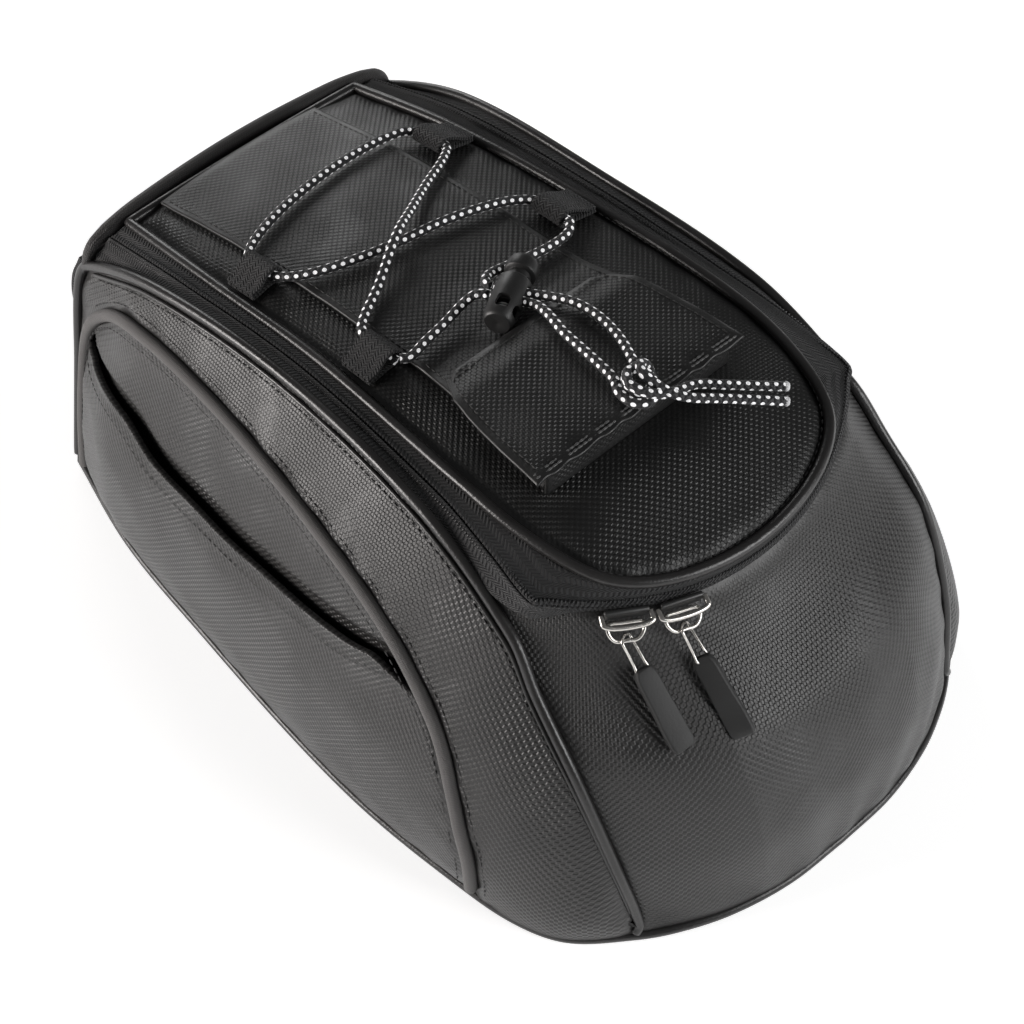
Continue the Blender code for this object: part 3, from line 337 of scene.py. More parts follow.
def cloth(name, place, across, rows, thickness, material, body, replaced=(), slot="cover", uv="yz",
          inner=(0, 0, 60),
          seams="lrnf", tuck=1.5, reach=4.0, pucker=0.5, waves=0.35, wave_size=16.0, extra=None, offset=-1.0):
    """A sewn panel: place(s, t) is its surface, seams the sewn edges (left, right, near, far).

    inner is a point inside it, tuck and reach draw it in at its seams, pucker crimps it beside them, and
    waves ripple it. uv says which plane the embossing lies in.
    """
    s, t = np.meshgrid(np.linspace(0, 1, across + 1), np.linspace(0, 1, rows + 1))
    points = np.array(place(s, t), float)
    step_s = np.linalg.norm(np.diff(points, axis=1), axis=2)
    step_t = np.linalg.norm(np.diff(points, axis=0), axis=2)
    run_s = np.concatenate([np.zeros((rows + 1, 1)), np.cumsum(step_s, axis=1)], axis=1)
    run_t = np.concatenate([np.zeros((1, across + 1)), np.cumsum(step_t, axis=0)], axis=0)
    edges = {"l": run_s, "r": run_s[:, -1:] - run_s, "n": run_t, "f": run_t[-1:] - run_t}
    to_seam = np.min([edges[k] for k in seams], axis=0) if seams else np.full(s.shape, 99.0)
    normal = unit(np.cross(np.gradient(points, axis=1), np.gradient(points, axis=0)))
    facing = np.einsum("ijk,ijk->ij", normal, points - np.array(inner, float)).sum()
    normal = normal * (1 if facing > 0 else -1)
    shift = -tuck * np.exp(-(to_seam / reach) ** 2)
    if seams:
        lengthways = run_s if set(seams) <= set("nf") else run_s + run_t
        crimp = np.sin(lengthways / 3.1 + 2.2 * ripple(points, 21, 1.3)) * (0.6 + 0.5
                                                                            * ripple(points, 33, 4.1))
        shift = shift + pucker * crimp * np.exp(-to_seam / 7.0) * (1 - np.exp(-to_seam / 1.5))
    shift = shift + waves * ripple(points, wave_size, 0.4) * (1 - np.exp(-to_seam / 12))
    if extra is not None:
        shift = shift + extra(points, to_seam)
    points = points + normal * shift[..., None]
    planes = {"xy": points[..., [0, 1]], "yz": points[..., [1, 2]] * [1, 1.05], "xz": points[..., [0, 2]],
              "st": stacked(run_s, run_t), "ts": stacked(run_t, run_s),
              "nose": stacked(np.arctan2(points[..., 0], -points[..., 1] - 20) * 125, points[..., 2] * 1.09)}
    bm = laid_grid(points, planes[uv] * MM, np.clip((to_seam - 1.0) / 5.0, 0, 1))
    bm.normal_update()
    middle = Vector(metres(inner))
    out = sum(f.calc_area() * f.normal.dot(f.calc_center_median() - middle) for f in bm.faces)
    if out < 0:
        bmesh.ops.reverse_faces(bm, faces=bm.faces)
    obj = finish_mesh(name, bm, material, body, replaced)
    wall = obj.modifiers.new("Wall", "SOLIDIFY")
    wall.thickness = thickness * MM
    wall.offset = offset
    return obj


def side_ways(path, closed=False):
    """Two directions square to the path at each point, carried along it without twist."""
    run = unit(np.gradient(path, axis=0))
    if closed:
        run = unit(np.roll(path, -1, axis=0) - np.roll(path, 1, axis=0))
    first = np.cross(run[0], [0.0, 0.0, 1.0] if abs(run[0][2]) < 0.9 else [0.0, 1.0, 0.0])
    ways = [first / np.linalg.norm(first)]
    for direction in run[1:]:
        way = ways[-1] - direction * ways[-1].dot(direction)
        ways.append(way / np.linalg.norm(way))
    ways = np.array(ways)
    other = np.cross(run, ways)
    if closed:
        turn = math.atan2(ways[0].dot(other[-1]), ways[0].dot(ways[-1]))
        angle = np.linspace(0, turn, len(path))[:, None]
        return ways * np.cos(angle) + other * np.sin(angle), other * np.cos(angle) - ways * np.sin(angle)
    return ways, other


def tube(name, path, radius, material, body, replaced=(), sides=14, closed=False):
    """A tube along the path, in millimetres, with its length and its girth as UV in metres."""
    path = np.array(path, float)
    if closed:
        path = np.concatenate([path, path[:1]])
    ways, other = side_ways(path[:-1] if closed else path, closed)
    if closed:
        ways, other = np.concatenate([ways, ways[:1]]), np.concatenate([other, other[:1]])
    run = run_of(path)
    angle = np.linspace(0, 2 * math.pi, sides + 1)
    thick = np.broadcast_to(radius, len(path))[:, None, None]
    ring = (np.cos(angle)[None, :, None] * ways[:, None, :]
            + np.sin(angle)[None, :, None] * other[:, None, :]) * thick
    points = path[:, None, :] + ring
    girth = np.broadcast_to(angle * np.max(radius), points.shape[:2])
    bm = laid_grid(points, stacked(np.broadcast_to(run[:, None], girth.shape), girth) * MM)
    bmesh.ops.remove_doubles(bm, verts=bm.verts, dist=1e-7)
    if not closed:
        bmesh.ops.holes_fill(bm, edges=[e for e in bm.edges if e.is_boundary], sides=0)
    bmesh.ops.recalc_face_normals(bm, faces=bm.faces)
    return finish_mesh(name, bm, material, body, replaced)


def copies(name, piece, matrices, material, body, replaced=()):
    """One mesh holding a copy of the small piece at every matrix."""
    base = mesh_of("piece", piece)
    bm = bmesh.new()
    for matrix in matrices:
        base_copy = base.copy()
        base_copy.transform(matrix)
        bm.from_mesh(base_copy)
        bpy.data.meshes.remove(base_copy)
    bpy.data.meshes.remove(base)
    return finish_mesh(name, bm, material, body, replaced)


def stitches(name, path, facing, pitch, long, wide, body, material):
    """A row of sewn stitches along the path; facing is the cloth's outward direction."""
    path = np.array(path, float)
    facing = unit(np.broadcast_to(np.array(facing, float), path.shape))
    run = run_of(path)
    count = max(int(run[-1] / pitch), 1)
    matrices = []

    def at_run(where, rows):
        return np.array([np.interp(where, run, rows[:, k]) for k in range(3)])

    for where in (np.arange(count) + 0.5) * run[-1] / count:
        at, up = at_run(where, path), at_run(where, facing)
        ahead, behind = at_run(where + 0.5, path), at_run(where - 0.5, path)
        x = (ahead - behind) / np.linalg.norm(ahead - behind)
        up = up - x * up.dot(x)
        up /= np.linalg.norm(up)
        y = np.cross(up, x)
        basis = np.stack([x * long / 2, y * wide / 2, up * wide * 0.42], axis=1) * MM
        matrices.append(placed_on(basis, metres(at)))
    piece = bmesh.new()
    bmesh.ops.create_icosphere(piece, subdivisions=2, radius=1.0)
    return copies(name, piece, matrices, material, body)


def block(name, middle, size, axes, material, body, replaced=(), bevel=0.4, segments=3,
          shape=None):
    """A bevelled box on three axes, in millimetres."""
    bm = bmesh.new()
    bmesh.ops.create_cube(bm, size=1)
    if shape:
        shape(bm)
    for v in bm.verts:
        local = np.array([v.co.x * size[0], v.co.y * size[1], v.co.z * size[2]])
        v.co = metres(np.array(middle) + local @ np.array(axes, float))
    bmesh.ops.recalc_face_normals(bm, faces=bm.faces)
    if bevel:
        edges = [e for e in bm.edges if len(e.link_faces) == 2 and e.calc_face_angle() > 0.5]
        bmesh.ops.bevel(bm, geom=edges, offset=bevel * MM, segments=segments, profile=0.5, affect="EDGES",
                        material=-1)
    bmesh.ops.recalc_face_normals(bm, faces=bm.faces)
    return finish_mesh(name, bm, material, body, replaced, sharp=40)

# %% [markdown]
# Materials work in metres, on each piece's own UV map or its object coordinates. Three shared effects are
# node groups: the embossed check, woven ridges, and a fine leather-like grain.

# %%
def put(tree, kind, *sources, **settings):
    """Adds a node; sources fill its inputs in order, as sockets or constants, and None leaves one alone."""
    made = tree.nodes.new("ShaderNode" + kind)
    for key, value in settings.items():
        setattr(made, key, value)
    for socket, source in zip(made.inputs, sources):
        if isinstance(source, bpy.types.NodeSocket):
            tree.links.new(source, socket)
        elif source is not None:
            socket.default_value = source
    return made


def maths(tree, operation, first, second=None):
    return put(tree, "Math", first, second, operation=operation).outputs[0]


def effect(name, inputs, outputs):
    """A shared node group with float or vector sockets, and its input and output nodes."""
    tree = bpy.data.node_groups.new(name, "ShaderNodeTree")
    for label, kind, value in inputs:
        socket = tree.interface.new_socket(label, in_out="INPUT", socket_type="NodeSocket" + kind)
        if value is not None:
            socket.default_value = value
    for label, kind in outputs:
        tree.interface.new_socket(label, in_out="OUTPUT", socket_type="NodeSocket" + kind)
    return tree, tree.nodes.new("NodeGroupInput").outputs, tree.nodes.new("NodeGroupOutput").inputs


def make_check():
    """Raised and sunk squares, alternating, with soft shoulders."""
    tree, given, result = effect("Embossed check", [("Place", "Vector", None), ("Pitch", "Float", 0.0025),
                                                    ("Fade", "Float", 1.0)], [("Height", "Float")])
    place = put(tree, "SeparateXYZ", given["Place"]).outputs
    turns = maths(tree, "DIVIDE", math.pi, given["Pitch"])
    waves = [maths(tree, "SINE", maths(tree, "MULTIPLY", place[k], turns)) for k in (0, 1)]
    steep = maths(tree, "MULTIPLY", maths(tree, "MULTIPLY", waves[0], waves[1]), 2.4)
    square = maths(tree, "MAXIMUM", maths(tree, "MINIMUM", steep, 1.0), -1.0)
    tree.links.new(maths(tree, "MULTIPLY", square, given["Fade"]), result["Height"])
    return tree


def make_ridges():
    """Chevron ridges: rows of slanting threads that turn at the middle of each band."""
    tree, given, result = effect("Woven ridges", [("Place", "Vector", None), ("Thread", "Float", 0.0012),
                                                  ("Band", "Float", 0.003), ("Slant", "Float", 1.0)],
                                 [("Height", "Float")])
    place = put(tree, "SeparateXYZ", given["Place"]).outputs
    swing = maths(tree, "PINGPONG", place[1], given["Band"])
    slanted = maths(tree, "ADD", place[0], maths(tree, "MULTIPLY", swing, given["Slant"]))
    wave = maths(tree, "SINE", maths(tree, "DIVIDE", maths(tree, "MULTIPLY", slanted, 2 * math.pi),
                                     given["Thread"]))
    tree.links.new(wave, result["Height"])
    return tree


def make_grain():
    """Fine uneven grain and slow wear, from noise in metres."""
    tree, given, result = effect("Fine grain", [("Place", "Vector", None), ("Size", "Float", 0.0006)],
                                 [("Height", "Float"), ("Wear", "Float")])
    fine = put(tree, "TexNoise", given["Place"])
    fine.inputs["Detail"].default_value = 3.0
    tree.links.new(maths(tree, "DIVIDE", 1.0, given["Size"]), fine.inputs["Scale"])
    slow = put(tree, "TexNoise", given["Place"])
    slow.inputs["Scale"].default_value = 38.0
    slow.inputs["Detail"].default_value = 4.0
    tree.links.new(fine.outputs["Fac"], result["Height"])
    tree.links.new(slow.outputs["Fac"], result["Wear"])
    return tree


CHECK_PITCH = 0.00125  # metres, one square
BRAID_STEP, FLECK_STEP = 0.0022, 0.0032  # metres along the cord
# The flecks' glow is painted: an emission standing in for the light they reflect back.
FLECK_PAINTED_GLOW = 0.30  # how much the reflective flecks shine back
check_effect, ridge_effect, grain_effect = make_check(), make_ridges(), make_grain()


def shared(tree, group, **values):
    made = tree.nodes.new("ShaderNodeGroup")
    made.node_tree = group
    for label, value in values.items():
        if isinstance(value, bpy.types.NodeSocket):
            tree.links.new(value, made.inputs[label])
        else:
            made.inputs[label].default_value = value
    return made.outputs


def raised(tree, height, distance):
    bump = tree.nodes.new("ShaderNodeBump")
    bump.inputs["Strength"].default_value = 1.0
    bump.inputs["Distance"].default_value = distance
    tree.links.new(height, bump.inputs["Height"])
    return bump.outputs["Normal"]


def ranged(tree, value, low, high, low_out, high_out):
    return put(tree, "MapRange", value, low, high, low_out, high_out).outputs[0]


def mixed(tree, factor, first, second):
    mix = tree.nodes.new("ShaderNodeMix")
    mix.data_type = "RGBA"
    tree.links.new(factor, mix.inputs[0])
    for socket, value in ((mix.inputs[6], first), (mix.inputs[7], second)):
        if isinstance(value, bpy.types.NodeSocket):
            tree.links.new(value, socket)
        else:
            socket.default_value = (*value, 1.0)
    return mix.outputs[2]


def new_material(name, colour, roughness, metallic=0.0, specular=0.5, sheen=0.0):
    made = bpy.data.materials.new(name)
    made.use_nodes = True
    tree = made.node_tree
    shader = tree.nodes["Principled BSDF"]
    shader.inputs["Base Color"].default_value = (*colour, 1.0)
    shader.inputs["Roughness"].default_value = roughness
    shader.inputs["Metallic"].default_value = metallic
    shader.inputs["Specular IOR Level"].default_value = specular
    shader.inputs["Sheen Weight"].default_value = sheen
    return made, tree, shader.inputs


def grey(level):
    return (level, level, level)


def fill(tree, inputs, **sources):
    """Links sources to a shader's inputs; an underline stands for the space in a name."""
    for label, source in sources.items():
        tree.links.new(source, inputs[label.replace("_", " ")])


def object_place(tree):
    return tree.nodes.new("ShaderNodeTexCoord").outputs["Object"]


def uv_place(tree):
    return put(tree, "UVMap", uv_map="Place").outputs["UV"]


def make_cover(name, dark, light, roughness, depth=0.00022):
    """Coated fabric, embossed in a small check that fades out at the seams, its sunk squares painted darker
    as shade.
    """
    made, tree, inputs = new_material(name, dark, roughness)
    fade = put(tree, "Attribute", attribute_name="Fade").outputs["Fac"]
    grain = shared(tree, grain_effect, Place=object_place(tree), Size=0.0005)
    pressed = maths(tree, "MULTIPLY", fade, ranged(tree, grain["Wear"], 0.36, 0.62, 0.35, 1.0))
    check = shared(tree, check_effect, Place=uv_place(tree), Pitch=CHECK_PITCH, Fade=pressed)["Height"]
    height = maths(tree, "ADD", check, maths(tree, "MULTIPLY", grain["Height"], 0.35))
    # Random wear plus painted shade: the check's height darkens the sunk squares and lightens the raised
    # ones.
    wear_and_check_shade = maths(tree, "ADD", maths(tree, "MULTIPLY", check, 0.22), grain["Wear"])
    fill(tree, inputs, Normal=raised(tree, height, depth),
         Base_Color=mixed(tree, ranged(tree, wear_and_check_shade, 0.2, 0.9, 0.0, 1.0), dark, light),
         Roughness=ranged(tree, grain["Wear"], 0.3, 0.7, roughness - 0.05, roughness + 0.07))
    return made


def make_plain(name, dark, light, roughness, size=0.0006, depth=0.0001, **more):
    """A smooth or moulded surface with a fine grain."""
    made, tree, inputs = new_material(name, dark, roughness, **more)
    grain = shared(tree, grain_effect, Place=object_place(tree), Size=size)
    fill(tree, inputs, Normal=raised(tree, grain["Height"], depth),
         Base_Color=mixed(tree, ranged(tree, grain["Wear"], 0.25, 0.75, 0.0, 1.0), dark, light),
         Roughness=ranged(tree, grain["Wear"], 0.3, 0.7, roughness - 0.04, roughness + 0.05))
    return made


def make_woven(name, dark, light, roughness, thread, band, slant, depth, sheen=0.1):
    """Woven tape or webbing: slanting threads on the piece's own UV map, their grooves painted darker as
    shade.
    """
    made, tree, inputs = new_material(name, dark, roughness, sheen=sheen)
    ridge = shared(tree, ridge_effect, Place=uv_place(tree), Thread=thread, Band=band, Slant=slant)["Height"]
    grain = shared(tree, grain_effect, Place=object_place(tree), Size=0.0004)
    height = maths(tree, "ADD", ridge, maths(tree, "MULTIPLY", grain["Height"], 1.2))
    # Painted shade: the ridge height colours the thread tops lighter and the grooves between them darker.
    shade = ranged(tree, ridge, -1.0, 1.0, 0.0, 1.0)
    fill(tree, inputs, Normal=raised(tree, height, depth), Base_Color=mixed(tree, shade, dark, light))
    return made


def make_cord():
    """A braided sheath, black, with pale oblong flecks in staggered rows that glow as a painted reflection.
    """
    made, tree, inputs = new_material("Braided cord", (0.012, 0.012, 0.014), 0.62, sheen=0.12)
    place = put(tree, "SeparateXYZ", uv_place(tree)).outputs
    girth = 2 * math.pi * CORD_R * MM
    around = maths(tree, "MULTIPLY", place[1], 2 * math.pi / girth)
    lengthways = maths(tree, "MULTIPLY", place[0], 2 * math.pi / BRAID_STEP)
    first = maths(tree, "SINE", maths(tree, "ADD", lengthways, maths(tree, "MULTIPLY", around, 4.0)))
    second = maths(tree, "SINE", maths(tree, "SUBTRACT", lengthways, maths(tree, "MULTIPLY", around, 4.0)))
    braid = maths(tree, "MAXIMUM", first, second)
    fill(tree, inputs, Normal=raised(tree, braid, 0.00016))
    row = maths(tree, "MULTIPLY", place[1], 4.0 / girth)
    odd = maths(tree, "FLOORED_MODULO", maths(tree, "FLOOR", row), 2.0)
    step = maths(tree, "FRACT", maths(tree, "ADD", maths(tree, "DIVIDE", place[0], FLECK_STEP),
                                      maths(tree, "MULTIPLY", odd, 0.5)))

    def from_middle(share, half):
        away = maths(tree, "ABSOLUTE", maths(tree, "SUBTRACT", share, 0.5))
        return maths(tree, "POWER", maths(tree, "DIVIDE", away, half), 2.0)

    apart = maths(tree, "ADD", from_middle(step, 0.25), from_middle(maths(tree, "FRACT", row), 0.28))
    fleck = ranged(tree, apart, 0.75, 1.05, 1.0, 0.0)
    # Painted reflection: the pale flecks also glow with white light of their own.
    inputs["Emission Color"].default_value = (1.0, 1.0, 1.0, 1.0)
    fill(tree, inputs, Base_Color=mixed(tree, fleck, (0.011, 0.011, 0.013), (0.95, 0.95, 0.97)),
         Emission_Strength=maths(tree, "MULTIPLY", fleck, FLECK_PAINTED_GLOW))
    return made


cover_body = make_cover("Body cover", (0.014, 0.0135, 0.0135), (0.036, 0.035, 0.0345), 0.40)
# Painted shade: the cover on the lid, sleeve, pouch and flap is coloured darker than the body's, for the
# shade on the bag's top.
shaded_lid_cover = make_cover("Lid cover painted darker", grey(0.008), grey(0.018), 0.41, depth=0.00014)
lining_stuff = make_woven("Lining cloth", (0.012, 0.012, 0.013), (0.022, 0.022, 0.023), 0.85, 0.0009, 0.0009,
                          1.0, 0.00006)
grey_stuff = make_woven("Grey piping cloth", (0.075, 0.071, 0.070), (0.110, 0.104, 0.102), 0.62, 0.0006,
                        0.0003, 1.0, 0.00008)
binding_stuff = make_woven("Back binding cloth", (0.018, 0.017, 0.017), (0.040, 0.037, 0.037), 0.55, 0.0008,
                           0.0006, 1.0, 0.00008)
tape_stuff = make_woven("Closure tape", (0.009, 0.009, 0.010), (0.022, 0.022, 0.023), 0.78, 0.0016, 0.0022,
                        0.9, 0.00022)
webbing_stuff = make_woven("Webbing", (0.006, 0.006, 0.007), (0.020, 0.020, 0.021), 0.82, 0.0013, 0.0016, 0.8,
                           0.00030)
patch_stuff = make_woven("Hook and loop", (0.008, 0.008, 0.009), (0.018, 0.018, 0.019), 0.9, 0.0011, 0.0005,
                         0.3, 0.0004, 0.3)
cord_stuff = make_cord()
welt_stuff = make_plain("Piping skin", (0.014, 0.013, 0.013), (0.026, 0.025, 0.025), 0.30, 0.0009, 0.00012)
# Painted shade: the slider plates' nickel is coloured dark, as they sit in shade under the tape.
nickel_painted_dark = make_plain("Nickel painted dark", grey(0.05), grey(0.08), 0.42, 0.0010, 0.00003, metallic=0.8)
# Painted highlight: the fold's thread is coloured light grey for the glints along the puckered fold.
highlit_fold_thread = make_plain("Fold thread painted highlight", grey(0.055), grey(0.11), 0.45, 0.0004, 0.00006)
thread_stuff = make_plain("Thread", (0.020, 0.020, 0.021), (0.040, 0.039, 0.038), 0.6, 0.0004, 0.00006)
coil_stuff = make_plain("Nylon coil", (0.010, 0.010, 0.011), (0.016, 0.016, 0.017), 0.4, 0.0005, 0.00003)
plastic_stuff = make_plain("Moulded plastic", grey(0.012), grey(0.018), 0.42, 0.0007, 0.00005)
rubber_stuff = make_plain("Moulded rubber", grey(0.011), grey(0.019), 0.58, 0.0010, 0.00008)
nickel_stuff = make_plain("Nickel plate", (0.60, 0.58, 0.55), (0.68, 0.66, 0.63), 0.22, 0.0020, 0.00002,
                          metallic=1.0)
steel_stuff = make_plain("Spring steel", grey(0.55), (0.66, 0.66, 0.65), 0.25, 0.0015, 0.00002, metallic=1.0)
board_stuff = make_plain("Fibre board", (0.035, 0.034, 0.032), (0.060, 0.057, 0.052), 0.8, 0.0012, 0.00010)
tip_stuff = make_plain("Melted tip", (0.55, 0.55, 0.56), (0.75, 0.75, 0.76), 0.55, 0.0005, 0.00020)

# %% [markdown]
# The cord comes first. It is laced through four webbing loops on the lid, and its two ends go through the
# lock, run over the flap together, and are tied in an overhand knot.

# %%
lacing = smooth([(x, y, lid_height(x, y) + h) for x, y, h in LACING], 420)
lacing_cord = tube("lacing_cord_v", lacing, CORD_R, cord_stuff, "lid", ["lacing_cord"])
length_of(lacing) * MM
for name, table in (("left", LEAD_LEFT), ("right", LEAD_RIGHT)):
    lead = smooth(table, 60)
    lead_cord = tube(f"cord_lead_{name}_v", lead, CORD_R, cord_stuff, None, [f"cord_lead_{name}"])
    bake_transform(lead_cord)

for name, table, replaced in (("left", TIED_LEFT, ["cord_tail_left", "cord_end_upper", "cord_knot"]),
                              ("right", TIED_RIGHT, ["cord_tail_right", "cord_end_lower"])):
    path = smooth(table, 300)
    radii = [CORD_R * share for share in (1.01, 1.0, 1.02, 0.8)]
    cut_end = tube(f"cut_end_{name}", path[-4:], radii, tip_stuff, "flap")
    cord = tube(f"tied_cord_{name}", path[:-2], CORD_R, cord_stuff, "flap", replaced)
    length_of(path[:-2]) * MM

# %% [markdown]
# The four loops are folded webbing, sewn to the lid at their outer ends.

# %%
for name, (cord_x, y_middle, sewn_x) in LOOPS.items():
    sign, sewn, at_x = math.copysign(1, cord_x), abs(sewn_x), abs(cord_x)
    section = [(sewn, 1.3), (sewn - 3, 1.3), (at_x + 3.0, 1.65), (at_x, CORD_H - LOOP_R)]
    section += [(at_x - LOOP_R * math.sin(a), CORD_H - LOOP_R * math.cos(a))
                for a in np.radians((30, 60, 90, 120, 150, 180))]
    section += [(at_x + 3.2, CORD_H + LOOP_R - 0.5), (sewn - 3.4, 3.4), (sewn, 2.95)]
    section = smooth(section, 80)

    def strap(s, t, section=section, sign=sign, at_x=at_x, y_middle=y_middle):
        across = along(section, t)
        y = y_middle + LOOP_WIDE * (s - 0.5)
        cover = lid_height(np.maximum(across[..., 0], at_x), y)
        return stacked(sign * across[..., 0], y, cover + across[..., 1])

    cloth(f"loop_{name}", strap, 28, 90, 1.05, webbing_stuff, "lid", [f"cord_loop_{name}"], "webbing",
          uv="ts", inner=(cord_x, y_middle, float(lid_height(at_x, y_middle)) + CORD_H), seams="", waves=0.0,
          offset=0.0)
    row = np.array([[sign * (sewn - 4.6), y_middle + d, 0] for d in np.linspace(-6, 6, 9)])
    row[:, 2] = lid_height(sewn - 4.6, row[:, 1]) + 4.25
    stitches(f"loop_stitches_{name}", row, (0, 0, 1), 2.0, 1.7, 0.5, "lid", thread_stuff)

# %% [markdown]
# The lid: a foam panel with piping round it, the sleeve down its middle, and a small pouch under the flap.

# %%
def lid_edges(inward):
    side = smooth([p[:2] for p in LID_SEAM[:5]] + [(51.5, -89.5)], 200) + [-inward, 0]
    corner = [(51.5, -89.5), (43, -98), (30, -105), (15, -109), (0, -110)]
    nose = smooth([(-x, y) for x, y in corner] + corner[:-1][::-1], 200)
    nose = nose - unit(nose - [0, -40]) * inward
    nose[0], nose[-1] = side[-1] * [-1, 1], side[-1]
    back = np.array([[x, 149 - inward] for x in np.linspace(-side[0][0], side[0][0], 60)])
    side[0] = back[-1]
    return back, nose, side * [-1, 1], side


def over_lid(inward, lift):
    plan = patch(*lid_edges(inward))

    def place(s, t):
        xy = plan(s, t)
        return stacked(xy[..., 0], xy[..., 1], lid_height(xy[..., 0], xy[..., 1]) + lift)
    return place


cloth("lid_cover", over_lid(1.2, 0.0), 150, 240, LID_FOAM, shaded_lid_cover, "lid", ["lid_panel"], uv="xy", tuck=1.2,
      waves=0.35, wave_size=22)
cloth("lid_lining_cloth", over_lid(6.0, -4.4), 70, 110, TAPE, lining_stuff, "lid", ["lid_lining"], "lining",
      uv="xy", inner=(0, 0, 200), tuck=0.2, waves=0.25)
lid_ring = smooth(whole(LID_SEAM), 900)
back_run = smooth([(x, 149.3, 110 + 1.2 * (1 - (x / 53) ** 2)) for x in np.linspace(53, -53, 9)], 160)[1:-1]
lid_line = np.concatenate([lid_ring, back_run])
tube("lid_piping_cord", lid_line, LID_WELT_R, welt_stuff, "lid", ["lid_piping"], closed=True)
inwards = unit(np.array([0, 20, 105.0]) - lid_ring) * [1, 1, 0.1]
stitches("lid_piping_stitches", lid_ring + inwards * 2.6 + [0, 0, 0.55], (0, 0, 1), 3.0, 2.2, 0.55, "lid",
         thread_stuff)


def sleeve(s, t):
    y = 146.0 + (-21.0 - 146.0) * t
    x = SLEEVE_MIDDLE_X + (SLEEVE_HALF + 6.0 * ease((8 - y) / 50)) * (2 * s - 1)
    return stacked(x, y, lid_height(x, y) + sleeve_lift(y))


cloth("sleeve_cover", sleeve, 90, 190, SKIN, shaded_lid_cover, "lid", ["sleeve_panel"], uv="xy", tuck=0.0, reach=2.0,
      pucker=0.25, waves=0.3, inner=(0, 0, 100))
for sign in (-1, 1):
    y = np.linspace(144, -18, 160)
    x = SLEEVE_MIDDLE_X + sign * (SLEEVE_HALF + 6.0 * ease((8 - y) / 50) - 2.4)
    row = np.stack([x, y, lid_height(x, y) + sleeve_lift(y) + 0.1], axis=1)
    stitches(f"sleeve_stitches_{'left' if sign < 0 else 'right'}", row, (0, 0, 1), 3.0, 2.3, 0.5, "lid",
             thread_stuff)

for side, sign in (("left", -1), ("right", 1)):
    def gusset(s, t, sign=sign):
        y = 4.0 - 61.0 * s
        x = SLEEVE_MIDDLE_X + sign * (SLEEVE_HALF + 6.0 * ease((8 - y) / 50) - 2.2)
        foot = lid_height(x, y) + 0.5
        head = np.maximum(foot + 0.9, np.minimum(lid_height(x, y) + sleeve_lift(y) - SKIN - 0.8, 148.6))
        under = np.minimum(foot + 12, flap_height(x, y) - SKIN - 0.5)
        head = head + (under - head) * ease((-26 - y) / 6)
        bellow = 2.0 * np.sin(math.pi * t) * np.minimum(1.0, (head - foot) / 8)
        return stacked(x - sign * bellow, y, foot + (head - foot) * t)
    cloth(f"pouch_gusset_{side}", gusset, 90, 20, SKIN, shaded_lid_cover, "lid", [f"pouch_wall_{side}"], uv="yz",
          inner=(SLEEVE_MIDDLE_X, -30, 140), tuck=0.3, reach=1.5, pucker=0.3, waves=0.55, wave_size=4.5)


def pouch_face(s, t):
    x = SLEEVE_MIDDLE_X + 40.5 * (2 * s - 1)
    y = -59.5 - 1.5 * (1 - (2 * s - 1) ** 2)
    foot = lid_height(x, y) + 0.5
    return stacked(x, y, foot + (flap_height(x, y) - SKIN - 0.5 - foot) * t)


cloth("pouch_face", pouch_face, 90, 24, SKIN, shaded_lid_cover, "lid", ["pouch_front"], uv="xz",
      inner=(SLEEVE_MIDDLE_X, -30, 140), tuck=0.2, reach=1.5, pucker=0.2, waves=0.15)


def hook_and_loop(height):
    def place(s, t):
        x, y = -9.0 + 30.0 * (s - 0.5), -12.5 - 7.0 * t
        return stacked(x, y, height(x, y))
    return place


cloth("hook_tape", hook_and_loop(lambda x, y: lid_height(x, y) + sleeve_lift(y) + 1.2), 50, 14, TAPE,
      patch_stuff, "lid", ["hook_patch"], "tape", uv="xy", inner=(0, 0, 100), seams="", waves=0.0)
cloth("loop_tape", hook_and_loop(lambda x, y: flap_height(x, y) - SKIN - 0.5), 50, 14, TAPE, patch_stuff,
      "flap", ["loop_patch"], "tape", uv="xy", inner=(0, 0, 100), seams="", waves=0.0)


def flap(s, t):
    y = FLAP_BACK_Y + (FOLD_Y - FLAP_BACK_Y) * t
    wide = np.interp(y, (-64.5, -64, -46, -29, -20, -13, -9.6), (45.5, 45.5, 44.3, 42.0, 40.0, 36.0, 30.0))
    x = FLAP_MIDDLE_X + wide * (2 * s - 1)
    return stacked(x, y, flap_height(x, y))


def fold_pucker(points, _):
    """Small gathers along the flap's fold."""
    near = np.exp(-((points[..., 1] - FOLD_Y) / 5.0) ** 2)
    return near * (0.65 * np.sin(points[..., 0] / 1.7 + ripple(points, 9, 2.0)) - 0.5)


cloth("flap_cover", flap, 130, 100, SKIN, shaded_lid_cover, "flap", ["flap_panel"], uv="xy", tuck=0.5, reach=1.6,
      pucker=0.3, waves=0.5, wave_size=14, extra=fold_pucker, inner=(0, 0, 100))
hem = [(0.965, t) for t in np.linspace(0.93, 0.07, 60)]
hem += [(s, 0.055) for s in np.linspace(0.955, 0.045, 80)]
hem += [(0.035, t) for t in np.linspace(0.07, 0.93, 60)]
hem = np.array(hem)
hem_line = flap(hem[:, 0], hem[:, 1])
stitches("flap_hem_stitches", hem_line + [0, 0, 0.15], (0, 0, 1), 2.9, 2.2, 0.5, "flap", thread_stuff)
fold_x = np.linspace(-53, 35, 100)
fold_line = stacked(fold_x, FOLD_Y + 1.6, flap_height(fold_x, FOLD_Y + 1.6) - 0.5)
